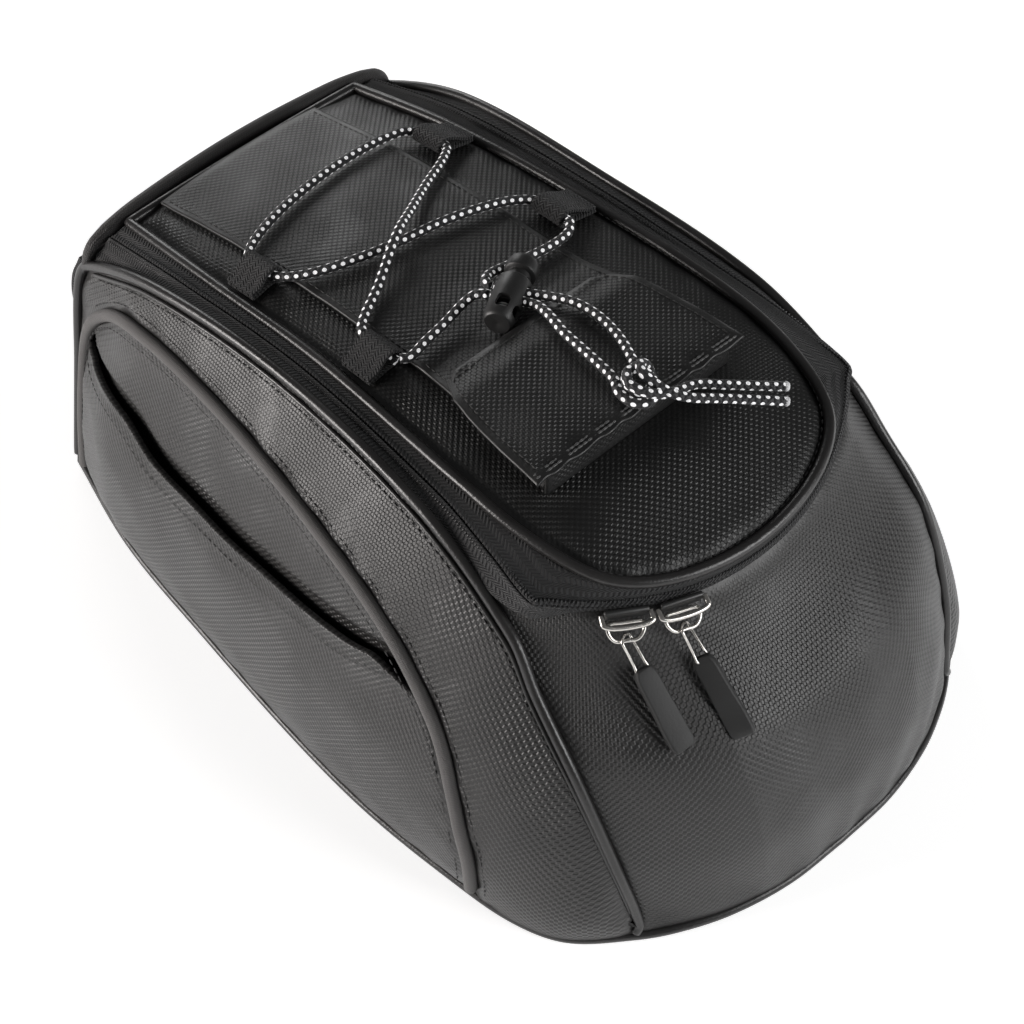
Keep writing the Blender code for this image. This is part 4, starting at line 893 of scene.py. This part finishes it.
# The two rows of stitches along the fold are real, and painted light grey as highlight.
for k, slip in enumerate((0.0, 1.5)):
    stitches(f"fold_highlight_stitches_{k}", fold_line + [0, slip, 0.05], (0, -0.4, 1), 2.1, 2.4, 0.8, "flap",
             highlit_fold_thread)

# %% [markdown]
# The closure: two woven tapes meet over rows of nylon teeth, round three sides of the lid.

# %%
def closure(count):
    ways = ((1, 0.05, -0.2), (1, 0, -0.15), (1, 0, -0.1), (1, 0, -0.15), (0.86, -0.1, -0.5))
    half = [(*p, *way, *body, *lid) for p, way, body, lid in zip(ZIP_SIDE, ways, TAPE_BODY, TAPE_LID)]
    up = zip_arc(0, 0, 1) - zip_arc(0)
    for k, degrees in enumerate(ZIP_STATIONS):
        out = zip_arc(degrees, 1) - zip_arc(degrees)
        way = out * (0.1 + 0.45 * ease(degrees / ZIP_END_DEG)) - up
        body = TAPE_BODY[5 + k] if k < 2 else zip_arc(degrees, 0.4, -4.0)
        half.append((*zip_arc(degrees), *way, *body, *TAPE_LID[5 + k]))
    rows = smooth([np.array([-1, 1, 1] * 4) * p for p in half] + half[:-1][::-1], count)
    line, way, body, lid = (rows[:, k:k + 3] for k in (0, 3, 6, 9))
    return line, unit(way), body, lid


line, across, body_edge, lid_edge = closure(620)
lid_far = lid_edge + unit(line - lid_edge) * 1.4
body_far = body_edge + unit(line - body_edge) * np.where(line[:, 1:2] > -84, 1.2, 0.0)
outward = unit(np.cross(across, np.gradient(line, axis=0)))
outward = outward * np.sign((outward * (line - [0, 20, 90])).sum(axis=1, keepdims=True))
for name, near, far, body in (("tape_lid", line - across * 0.5, lid_far, "lid"),
                              ("tape_body", line + across * 0.5, body_far, "shell")):
    cloth(name, lambda s, t, a=near, b=far: along(a, t) * (1 - s[..., None]) + along(b, t) * s[..., None]
          + along(outward, t) * (0.9 * np.exp(-(s * 8 / 1.8) ** 2))[..., None], 14, 619, TAPE, tape_stuff,
          body, ["zip_" + name], "tape", uv="ts", inner=(0, 0, 90), seams="", waves=0.12, wave_size=9)
teeth = smooth(line, int(length_of(line) / TOOTH_PITCH))
tooth_run = unit(np.gradient(teeth, axis=0))
tooth_across = along(across, np.linspace(0, 1, len(teeth)))
for name, sign, body in (("coil_lid", -1, "lid"), ("coil_body", 1, "shell")):
    piece = bmesh.new()
    bmesh.ops.create_icosphere(piece, subdivisions=1, radius=1.0)
    places = []
    for at, run, way in zip(teeth[int(sign > 0):], tooth_run, tooth_across):
        way = unit(way - run * way.dot(run))
        up = np.cross(run, way)
        basis = np.stack([run * 0.42, way * 1.5, up * 0.7], axis=1) * MM
        places.append(placed_on(basis, metres(at + way * sign * 0.9)))
    copies(name, piece, places, coil_stuff, body, ["zip_" + name])

# %% [markdown]
# The body: nose and back panels, and on each side a wall round an arched slip pocket.

# %%
nose_foot = smooth([(79, -139, 3.2)] + [(x, y + 0.6, 3.6) for x, y, _ in BASE_NOSE[1:]], 200)
nose_foot = np.concatenate([(nose_foot * [-1, 1, 1]), nose_foot[::-1][1:]])
nose_foot = smooth(nose_foot[::10], 300)
nose_top = [tuple(zip_arc(a, 0.5, -2.2)) for a in np.linspace(ZIP_END_DEG - 0.5, 0, 7)]
nose_top[0] = (73.4, -81.0, 116.8)
nose_top = smooth(mirrored(nose_top) + nose_top[:-1][::-1], 300)
nose_side = smooth([nose_top[-1], (78.6, -83.6, 107.6), (80.3, -92.6, 94), (82.2, -113, 72),
                    (80.2, -129.8, 38), (76.8, -138.2, 9), nose_foot[-1]], 300)
nose_face = patch(nose_foot, nose_top, nose_side[::-1] * [-1, 1, 1], nose_side[::-1])


def nose(s, t):
    swell = NOSE_BULGE * 4 * t * (1 - t) * np.minimum(1, 5 * s * (1 - s))
    tip = ease((t - 0.72) / 0.28) * (ease((s - 0.86) / 0.14) + ease((0.14 - s) / 0.14))
    to_tip = stacked(np.where(s > 0.5, 2.2, -2.2), 12.0, 2.4)
    return nose_face(s, t) + swell[..., None] * np.array([0, -1, 0.25]) + tip[..., None] * to_tip


def nose_folds(points, to_seam):
    """Shallow standing folds that fan out from the two lower corners and the zip."""
    low = np.exp(-points[..., 2] / 22.0)
    fan = np.sin(np.arctan2(points[..., 0], 60 + points[..., 2]) * 26 + 0.8 * np.sin(points[..., 2] / 17))
    return 0.9 * low * fan * np.clip(to_seam / 8, 0, 1)


cloth("nose_cover", nose, 230, 120, PANEL, cover_body, "shell", ["nose_panel"], uv="nose", tuck=1.0,
      reach=3.0, waves=0.45, wave_size=24, extra=nose_folds)


def back(s, t):
    x, z = 2 * s - 1, 4.2 + t * (97.5 + 8.3 * (1 - (2 * s - 1) ** 2))
    wide = np.interp(z, (4, 30, 60, 88, 106), (84.5, 82.0, 77.2, 72.4, 68.0))
    y = 157.6 + 2.5 * 4 * t * (1 - t) * (1 - x * x) - 2.4 * ease((z - 84) / 22)
    return stacked(x * wide, y, z)


cloth("back_cover", back, 150, 100, PANEL, cover_body, "shell", ["back_panel"], uv="xz", tuck=1.0, reach=3.0,
      waves=0.4, wave_size=26)

SIDE_TOP, SIDE_FOOT = smooth(BODY_SEAM, 400), smooth(BASE_SIDE, 400)
SIDE_BACK = smooth(BACK_EDGE[:-1] + [(86, 157.5, 8), (87.4, 157.2, 3.4)], 200)


def side_wall(u, v, proud=0.0):
    """A point on the right-hand wall: u from back to front, v from the body seam to the base."""
    top, foot = along(SIDE_TOP, u), along(SIDE_FOOT, u) + [0, 0, 3.2]
    drop = foot - top
    before = along(SIDE_TOP, u - 0.03) + along(SIDE_FOOT, u - 0.03)
    after = along(SIDE_TOP, u + 0.03) + along(SIDE_FOOT, u + 0.03)
    top = top + unit(drop) * 1.4
    out = unit(np.cross(drop, after - before))
    out = out * np.where(out[..., :1] > 0, 1, -1)
    tall = np.linalg.norm(foot - top, axis=-1)
    swell = SIDE_BULGE * 4 * v * (1 - v) * np.minimum(1, tall / 90) * (0.3 + 0.7 * ease(u / 0.15))
    v1 = np.asarray(v)[..., None]
    straight = SIDE_TOP[0] * (1 - v1) + (SIDE_FOOT[0] + [0, 0, 3.2]) * v1
    to_back = (along(SIDE_BACK, v) - straight) * (1 - ease(u / 0.07))[..., None]
    return top * (1 - v1) + foot * v1 + out * (swell * ease(u / 0.05) + proud)[..., None] + to_back


def beside(line, distance):
    """A line on the side wall, moved sideways over the wall by this many millimetres."""
    step = 0.01
    u, v = np.clip(line, 0.05, 0.95).T
    scale = np.stack([np.linalg.norm(side_wall(u + step, v) - side_wall(u - step, v), axis=1),
                      np.linalg.norm(side_wall(u, v + step) - side_wall(u, v - step), axis=1)],
                      axis=1) / (2 * step)
    run = unit(np.gradient(line, axis=0) * scale)
    return line + np.stack([-run[:, 1], run[:, 0]], axis=1) * distance / scale


stretch = np.array([3.1, 1.3])
arch, mouth = smooth(np.array(ARCH) * stretch, 240) / stretch, smooth(np.array(MOUTH) * stretch,
                                                                      160) / stretch
arch_outer, arch_inner = beside(arch, -1.5), beside(arch, 1.5)
crest = int(np.argmin(arch_inner[:, 1]))


def pocket_span(v):
    """How far back and forward the arch reaches at this height."""
    return (np.interp(-v, -arch_inner[:crest + 1, 1], arch_inner[:crest + 1, 0]),
            np.interp(v, arch_inner[crest:, 1], arch_inner[crest:, 0]))


def frame_wall(s, t):
    hole = along(arch_outer, np.interp(s, (0, 0.25, 0.75, 1), (0.0, 0.27, 0.74, 1.0)))
    u = np.interp(s, (0, 0.25, 0.75, 1), (0.002, 0.002, 0.996, 0.996))
    v = np.interp(s, (0, 0.25, 0.75, 1), (1, 0, 0, 1))
    u, v = u * (1 - t) + np.maximum(hole[..., 0], 0.016) * t, v * (1 - t) + hole[..., 1] * t
    return side_wall(u, np.where((s == 0) | (s == 1), 1.0, v))


def pocket_back(s, t):
    low, high = pocket_span(0.88)
    u = low + 0.01 + (high - low - 0.012) * (0.5 * s + 0.5 * ease(s))
    start = np.interp(u, arch_inner[:, 0], arch_inner[:, 1]) + 0.01 * (1 - ease(s / 0.25))
    v = start * (1 - t) + 0.9 * t
    behind = np.interp(u, mouth[:, 0], mouth[:, 1], left=0, right=0)
    below = ease((v - behind) / 0.1)
    deep = ease(s / 0.25) * ease((1 - s) / 0.25) * (2.0 * ease(t / 0.3) + (POCKET_DEPTH - 2.0) * below)
    return side_wall(u, v, -0.4 - deep - (PANEL + 1.0) * ease((v - behind + 0.06) / 0.04))


def pocket_front(s, t):
    start = along(mouth, s)
    v = start[..., 1] * (1 - t) + t
    low, high = pocket_span(v)
    shift = ease(1 - t / 0.35) * (1 - ease((s - 0.94) / 0.06)) * (1 - ease((0.06 - s) / 0.06))
    u = np.clip((low + (high - low) * s) * (1 - shift) + start[..., 0] * shift, low, high)
    return side_wall(u, v, 1.2 * ease(4 * t) * ease(4 * (1 - t)) + 0.5 * ease((0.05 - t) / 0.05))


for side, sign in (("left", -1), ("right", 1)):
    turned = np.array([sign, 1, 1])
    for name, place, across_count, rows, thick, seams, node, settings in (
            ("side_cover", frame_wall, 320, 26, PANEL, "nf", "side_panel",
             dict(tuck=0.9, reach=2.4, pucker=0.75)),
            ("pocket_lining", pocket_back, 110, 60, SKIN, "lr", "pocket_back", dict(tuck=0.0, waves=0.5)),
            ("pocket_cover", pocket_front, 150, 80, PANEL, "lrf", "pocket_front",
             dict(tuck=0.8, reach=3.0, waves=0.5))):
        cloth(f"{name}_{side}", lambda s, t, f=place: f(s, t) * turned, across_count, rows, thick, cover_body,
              "shell", [f"{node}_{side}"], uv="yz", seams=seams, **settings)
    arch_line = side_wall(arch[:, 0], np.minimum(arch[:, 1], 0.965), np.full(len(arch), 0.3)) * turned
    tube(f"grey_piping_{side}", smooth(arch_line[::4], 420), REFLECTIVE_R, grey_stuff, "shell",
         [f"reflective_piping_{side}"])
    seam_points = [(78.0, -138.4, 4.8)] + BODY_SEAM[::-1] + BACK_EDGE[1:] + [(86.8, 156.9, 4.6)]
    seam = smooth(np.array(seam_points, float) * turned, 720)
    tube(f"seam_cord_{side}", seam, WELT_R, welt_stuff, "shell", [f"seam_piping_{side}"])
    for name, line_uv, lift in (("arch_outer", beside(arch, -5.6), 0.1),
                                ("arch_inner", beside(arch, 5.2), 1.0),
                                ("mouth", np.stack([mouth[:, 0], mouth[:, 1] + 0.045], axis=1), 1.0)):
        line_uv = line_uv[(line_uv[:, 1] < 0.93) & (line_uv[:, 0] > 0.04)]
        row = side_wall(line_uv[:, 0], line_uv[:, 1], np.full(len(line_uv), lift)) * turned
        wall_out = unit(row - np.array([0, 10, 55.0]))
        stitches(f"{name}_stitches_{side}", row, wall_out, *STITCH, "shell", thread_stuff)
    flange = side_wall(np.linspace(0.02, 0.975, 460), np.full(460, 0.018), np.full(460, 0.1)) * turned
    tube(f"seam_flange_{side}", flange, 0.85, welt_stuff, "shell", (), sides=10)
    top_line = side_wall(np.linspace(0.03, 0.97, 300), np.full(300, 0.034), np.full(300, 0.3)) * turned
    stitches(f"seam_stitches_{side}", top_line, unit(top_line - [0, 10, 60]), 3.0, 2.2, 0.55, "shell",
             thread_stuff)

# %% [markdown]
# The base, its piping and its board, the back binding, and the strap on the back.

# %%
def base_outline(z, inward, count):
    half = smooth(BASE_SIDE[:-1] + BASE_NOSE, count)
    ring = np.concatenate([half, (half * [-1, 1, 1])[::-1][1:]])
    steps = stacked(0.0, np.clip(ring[:, 1], -70, 90), 0.0) - ring
    return ring + unit(steps) * inward + [0, 0, z]


base_ring = base_outline(0.0, 2.4, 160)
base_loop = np.concatenate([base_ring, base_ring[:1]])


def base(s, t):
    edge = along(base_loop, s)
    return edge * (1 - t[..., None]) + np.array([0, 10.0, 0]) * t[..., None] + np.array([0, 0, 0.25])


cloth("base_cloth", base, 320, 60, 1.6, tape_stuff, "shell", ["base_panel"], "tape", uv="xy",
      inner=(0, 0, 80), seams="n",
      tuck=0.0, pucker=0.0, waves=0.0)
tube("base_edge_cord", base_outline(2.1, 1.4, 260), 1.8, welt_stuff, "shell", ["base_piping"],
     closed=True)
roll = smooth(whole(BINDING), 260)
thin_ends = np.interp(np.abs(roll[:, 0]), (60, 71), (2.9, 1.9))
tube("back_binding_roll", roll, thin_ends, binding_stuff, "shell", ["back_binding"])
handle = smooth([(-68.5, 160.6, 60), (-68.5, 162.4, 66), (-67.8, 165.0, 76), (-66.4, 164.8, 85),
                 (-65.2, 161.6, 93), (-65.0, 160.2, 96)], 120)
cloth("handle_strap", lambda s, t: along(handle, t) + stacked(9.0 * (s - 0.5), 0.0, 0.0), 20, 80, 1.4,
      webbing_stuff, "shell", ["grab_handle"], "webbing", uv="ts", inner=(-71, 140, 80), seams="", waves=0.0)

# %% [markdown]
# A folded strip of tape joins the lid's back seam to the binding.

# %%
hinge_fold = smooth([(149.4, -0.6), (149.9, -4.2), (151.6, -6.2), (153.4, -4.2), (154.0, 0.6)], 60)


def hinge_place(s, t):
    section = along(hinge_fold, t)
    x = 104.0 * (s - 0.5)
    return stacked(x, section[..., 0], 110 + 1.2 * (1 - (x / 53) ** 2) + section[..., 1])


hinge_strip = cloth("hinge_strip", hinge_place, 80, 30, 0.6, tape_stuff, None, (), "tape", uv="xy",
                    inner=(0, 151.6, 90), seams="", waves=0.0)
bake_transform(hinge_strip)

# %% [markdown]
# The cord lock: a tapered barrel with a window, the sprung button in it, and the spring seen through the
# window.

# %%
LOCK_X = np.array(LOCK_AXIS)
LOCK_SIDE = np.array([-LOCK_AXIS[1], LOCK_AXIS[0], 0])
LOCK_UP = np.array([0, 0, 1.0])


def lock_point(a, sideways=0.0, up=0.0):
    return np.array(LOCK_MIDDLE) - 14.25 * LOCK_X + a * LOCK_X + sideways * LOCK_SIDE + up * LOCK_UP


def turned_piece(name, profile, material, body, replaced, cuts=()):
    """A profile of (place on the axis, radius), turned about the lock's axis, with windows cut in it."""
    bm = bmesh.new()
    verts = [bm.verts.new((r * MM, 0, a * MM)) for a, r in profile]
    edges = [bm.edges.new(pair) for pair in zip(verts, verts[1:])]
    bmesh.ops.spin(bm, geom=verts + edges, cent=(0, 0, 0), axis=(0, 0, 1), angle=2 * math.pi, steps=64,
                   use_merge=True)
    bmesh.ops.remove_doubles(bm, verts=bm.verts, dist=1e-6)
    bmesh.ops.recalc_face_normals(bm, faces=bm.faces)
    basis = np.stack([LOCK_UP, LOCK_SIDE, LOCK_X], axis=1)
    if np.linalg.det(basis) < 0:
        basis[:, 1] *= -1
    bm.transform(placed_on(basis, metres(lock_point(0))))
    obj = finish_mesh(name, bm, material, body, replaced, sharp=35)
    for k, (middle, size) in enumerate(cuts):
        cutter = bmesh.new()
        bmesh.ops.create_cube(cutter, size=1)
        for v in cutter.verts:
            v.co = metres(middle + v.co.x * size[0] * LOCK_X + v.co.y * size[1] * LOCK_SIDE + v.co.z * size[2]
                          * LOCK_UP)
        bmesh.ops.recalc_face_normals(cutter, faces=cutter.faces)
        bmesh.ops.bevel(cutter, geom=cutter.edges[:], offset=min(size) * 0.3 * MM, segments=4, profile=0.5,
                        affect="EDGES", material=-1)
        tool = bpy.data.objects.new(f"{name} window {k}", mesh_of(f"{name} window {k}", cutter))
        slotted = obj.modifiers.new("Window", "BOOLEAN")
        slotted.operation = "DIFFERENCE"
        slotted.solver = "EXACT"
        slotted.object = tool
        bpy.context.view_layer.update()
        cut_mesh = bpy.data.meshes.new_from_object(obj.evaluated_get(bpy.context.evaluated_depsgraph_get()))
        obj.modifiers.clear()
        obj.data = cut_mesh
        bpy.data.objects.remove(tool, do_unlink=True)
    return obj


barrel_profile = [(0.3, 0), (0, 0.8), (0, 4.3), (0.25, 4.6), (1.0, 5.2), (6, 5.65), (12, 6.1), (18.4, 5.95),
                  (19.1, 5.7), (19.4, 5.3), (19.4, 4.6), (19.2, 4.4), (1.8, 4.4), (1.6, 4.2), (1.6, 0)]
button_profile = [(8.2, 0), (8.2, 3.7), (8.5, 4.05), (22.6, 4.05), (22.8, 4.4), (22.9, 5.0), (23.3, 5.5),
                  (24.0, 5.7),
                  (27.4, 5.6), (28.2, 5.3), (28.5, 4.8), (28.5, 3.8), (28.2, 3.4), (25.8, 3.3), (25.4, 3.0),
                  (25.4, 0)]
turned_piece("lock_shell", barrel_profile, plastic_stuff, "flap", ["lock_barrel"],
             ((lock_point(13.15, 0, 0.3), (8.4, 16, 5.6)), (lock_point(4.9, -6.5, 1.5), (4.4, 8, 4.4)),
              (lock_point(6.0, 0, 6.2), (5.2, 4.6, 6.0))))
turned_piece("lock_plunger", button_profile, plastic_stuff, "lock_button", ["lock_button"],
             ((lock_point(15.2, 0, 0.3), (12.4, 16, 5.2)),))
coil_angle = np.linspace(0, 2 * math.pi * 5, 200)
coil = np.array([lock_point(2.3 + 5.2 * a / coil_angle[-1], 3.0 * math.cos(a), 3.0 * math.sin(a))
                 for a in coil_angle])
lock_coil = tube("lock_coil", coil, 0.34, steel_stuff, "flap", ["lock_spring"], sides=8)
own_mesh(lock_coil)

# %% [markdown]
# The sliders and their pulls: a plate with a bridge, a ring under the bridge, and a wire link moulded into
# a tab.

# %%
for side, tab_turn in (("left", 6), ("right", -40)):
    degrees = SLIDER_DEG[side]
    out = unit(zip_arc(degrees, 1) - zip_arc(degrees))
    up = zip_arc(degrees, 0, 1) - zip_arc(degrees)
    right = -np.cross(up, out)
    start = zip_arc(degrees)

    def at(x, o, u):
        return start + right * x + out * o + up * u

    top = at(0, RING_OUT, -3.2)
    hang = np.array(PULL_END[side]) - top
    hang = unit(hang - right * hang.dot(right))
    end = top + hang * 5.9
    # The plate is painted dark, as shade under the tape.
    block(f"slider_plate_{side}", at(0, PLATE_OUT, -0.8), (15.0, 1.8, 4.6), (right, out, up), nickel_painted_dark,
          f"slider_{side}", [f"slider_{side}"], bevel=0.7, segments=4)
    arch_angles = np.radians(np.linspace(-80, 80, 60))
    bridge = np.array([at(8.4 * math.sin(a), PLATE_OUT + 2.3 + (BAR_OUT - PLATE_OUT - 2.3)
                          * math.sqrt(math.cos(a)), -0.5 - 0.7 * math.cos(a)) for a in arch_angles])
    bridge = np.concatenate([[at(-8.2, PLATE_OUT + 0.2, -0.5)], bridge, [at(8.2, PLATE_OUT + 0.2, -0.5)]])
    tube(f"slider_bar_{side}", smooth(bridge, 90), 0.9, nickel_stuff, f"slider_{side}",
         [f"slider_bridge_{side}"], sides=20)
    loop = [(-5.2, 0), (-2, 0), (2, 0), (5.2, 0), (6.0, -1.2), (5.8, -3.2), (4.4, -5.2), (2.8, -5.9),
            (0, -5.9), (-2.8, -5.9), (-4.4, -5.2), (-5.8, -3.2), (-6.0, -1.2), (-5.2, 0)]
    ring = smooth([top + right * x - hang * y for x, y in loop], 140)[:-1]
    tube(f"pull_link_{side}", ring, 0.7, nickel_stuff, f"pull_ring_{side}", [f"pull_ring_{side}"],
         sides=16, closed=True)
    down = unit(np.array(PULL_END[side]) - end)
    face = unit(np.cross(right, down))
    face = face * (1 if face.dot(out) > 0 else -1)
    flat = np.cross(down, face)
    flat = flat * (1 if flat.dot(right) > 0 else -1)
    wire = [(0, 2.0, 0), (-1.6, 1.4, -1.2), (-2.1, 0, -1.75), (-2.0, -3.5, -1.0), (-1.9, -8.6, 0),
            (-1.9, -11.5, 0),
            (1.9, -11.5, 0), (1.9, -8.6, 0), (2.0, -3.5, 1.0), (2.1, 0, 1.75), (1.6, 1.4, 1.2), (0, 2.0, 0)]
    wire_line = smooth([end + flat * x - down * y + face * z for x, y, z in wire], 140)[:-1]
    tube(f"pull_wire_link_{side}", wire_line, 0.5, nickel_stuff, f"pull_tab_{side}", [f"pull_wire_{side}"],
         sides=12, closed=True)
    spin = math.radians(tab_turn)
    wide_way = flat * math.cos(spin) + face * math.sin(spin)
    deep_way = face * math.cos(spin) - flat * math.sin(spin)

    def tab_shape(bm):
        """A tab with a narrow neck, a waist and a thumb hollow near its foot."""
        bmesh.ops.subdivide_edges(bm, edges=[e for e in bm.edges
                                             if abs(e.verts[0].co.z - e.verts[1].co.z) > 0.5],
                                  cuts=11, use_grid_fill=True)
        for v in bm.verts:
            z = v.co.z + 0.5
            v.co.x *= np.interp(z, (0, 0.06, 0.25, 0.6, 0.86, 0.95, 1),
                                (0.86, 0.98, 1.0, 0.90, 0.88, 0.8, 0.62))
            v.co.y *= np.interp(z, (0, 0.08, 0.2, 0.34, 0.5, 0.7, 0.9, 1),
                                (0.85, 1.0, 0.82, 0.80, 0.97, 1.0, 1.0, 0.9))
    block(f"pull_grip_{side}", end + down * (10.2 + 15.2), (8.6, 3.2, 30.4), (wide_way, deep_way, -down),
          rubber_stuff,
          f"pull_tab_{side}", [f"pull_tab_{side}"], bevel=0.75, segments=4, shape=tab_shape)

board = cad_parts["base_stiffener"]
board.data.materials.clear()
board.data.materials.append(board_stuff)

# %% [markdown]
# A pale floor and soft studio light: a warm panel low on the left, one in front, a weak one behind, and a
# dim surround.

# %%
FLOOR_HALF, FLOOR_GLOW, SURROUND_GLOW = 6.0, 0.68, 0.12
floor_mesh = bmesh.new()
bmesh.ops.create_grid(floor_mesh, x_segments=1, y_segments=1, size=FLOOR_HALF)
floor = in_scene("Studio floor", mesh_of("Studio floor", floor_mesh))
floor_stuff, _, floor_inputs = new_material("Studio white", (0.80, 0.80, 0.80), 0.9, specular=0.1)
floor_inputs["Emission Color"].default_value = (1, 1, 1, 1)
floor_inputs["Emission Strength"].default_value = FLOOR_GLOW
floor.data.materials.append(floor_stuff)


def soft_light(name, at, aim, size, power, colour=(1, 1, 1)):
    data = bpy.data.lights.new(name, "AREA")
    data.shape, data.size, data.energy, data.color = "SQUARE", size, power, colour
    lamp = in_scene(name, data)
    lamp.location = at
    lamp.rotation_euler = (Vector(aim) - Vector(at)).to_track_quat("-Z", "Y").to_euler()


soft_light("Left panel", (-1.50, 1.00, 0.32), (0, 0.03, 0.08), 0.9, 38, (1.0, 0.955, 0.93))
soft_light("Front panel", (0.7, -1.6, 0.8), (0, -0.05, 0.06), 1.0, 22)
soft_light("Back panel", (0.68, 1.50, 0.62), (0, 0.05, 0.1), 0.6, 5)

world = bpy.data.worlds.new("Studio surround")
world.use_nodes = True
world.node_tree.nodes["Background"].inputs["Color"].default_value = (1, 1, 1, 1)
world.node_tree.nodes["Background"].inputs["Strength"].default_value = SURROUND_GLOW
bpy.context.scene.world = world
bpy.context.scene.view_settings.view_transform = "Standard"
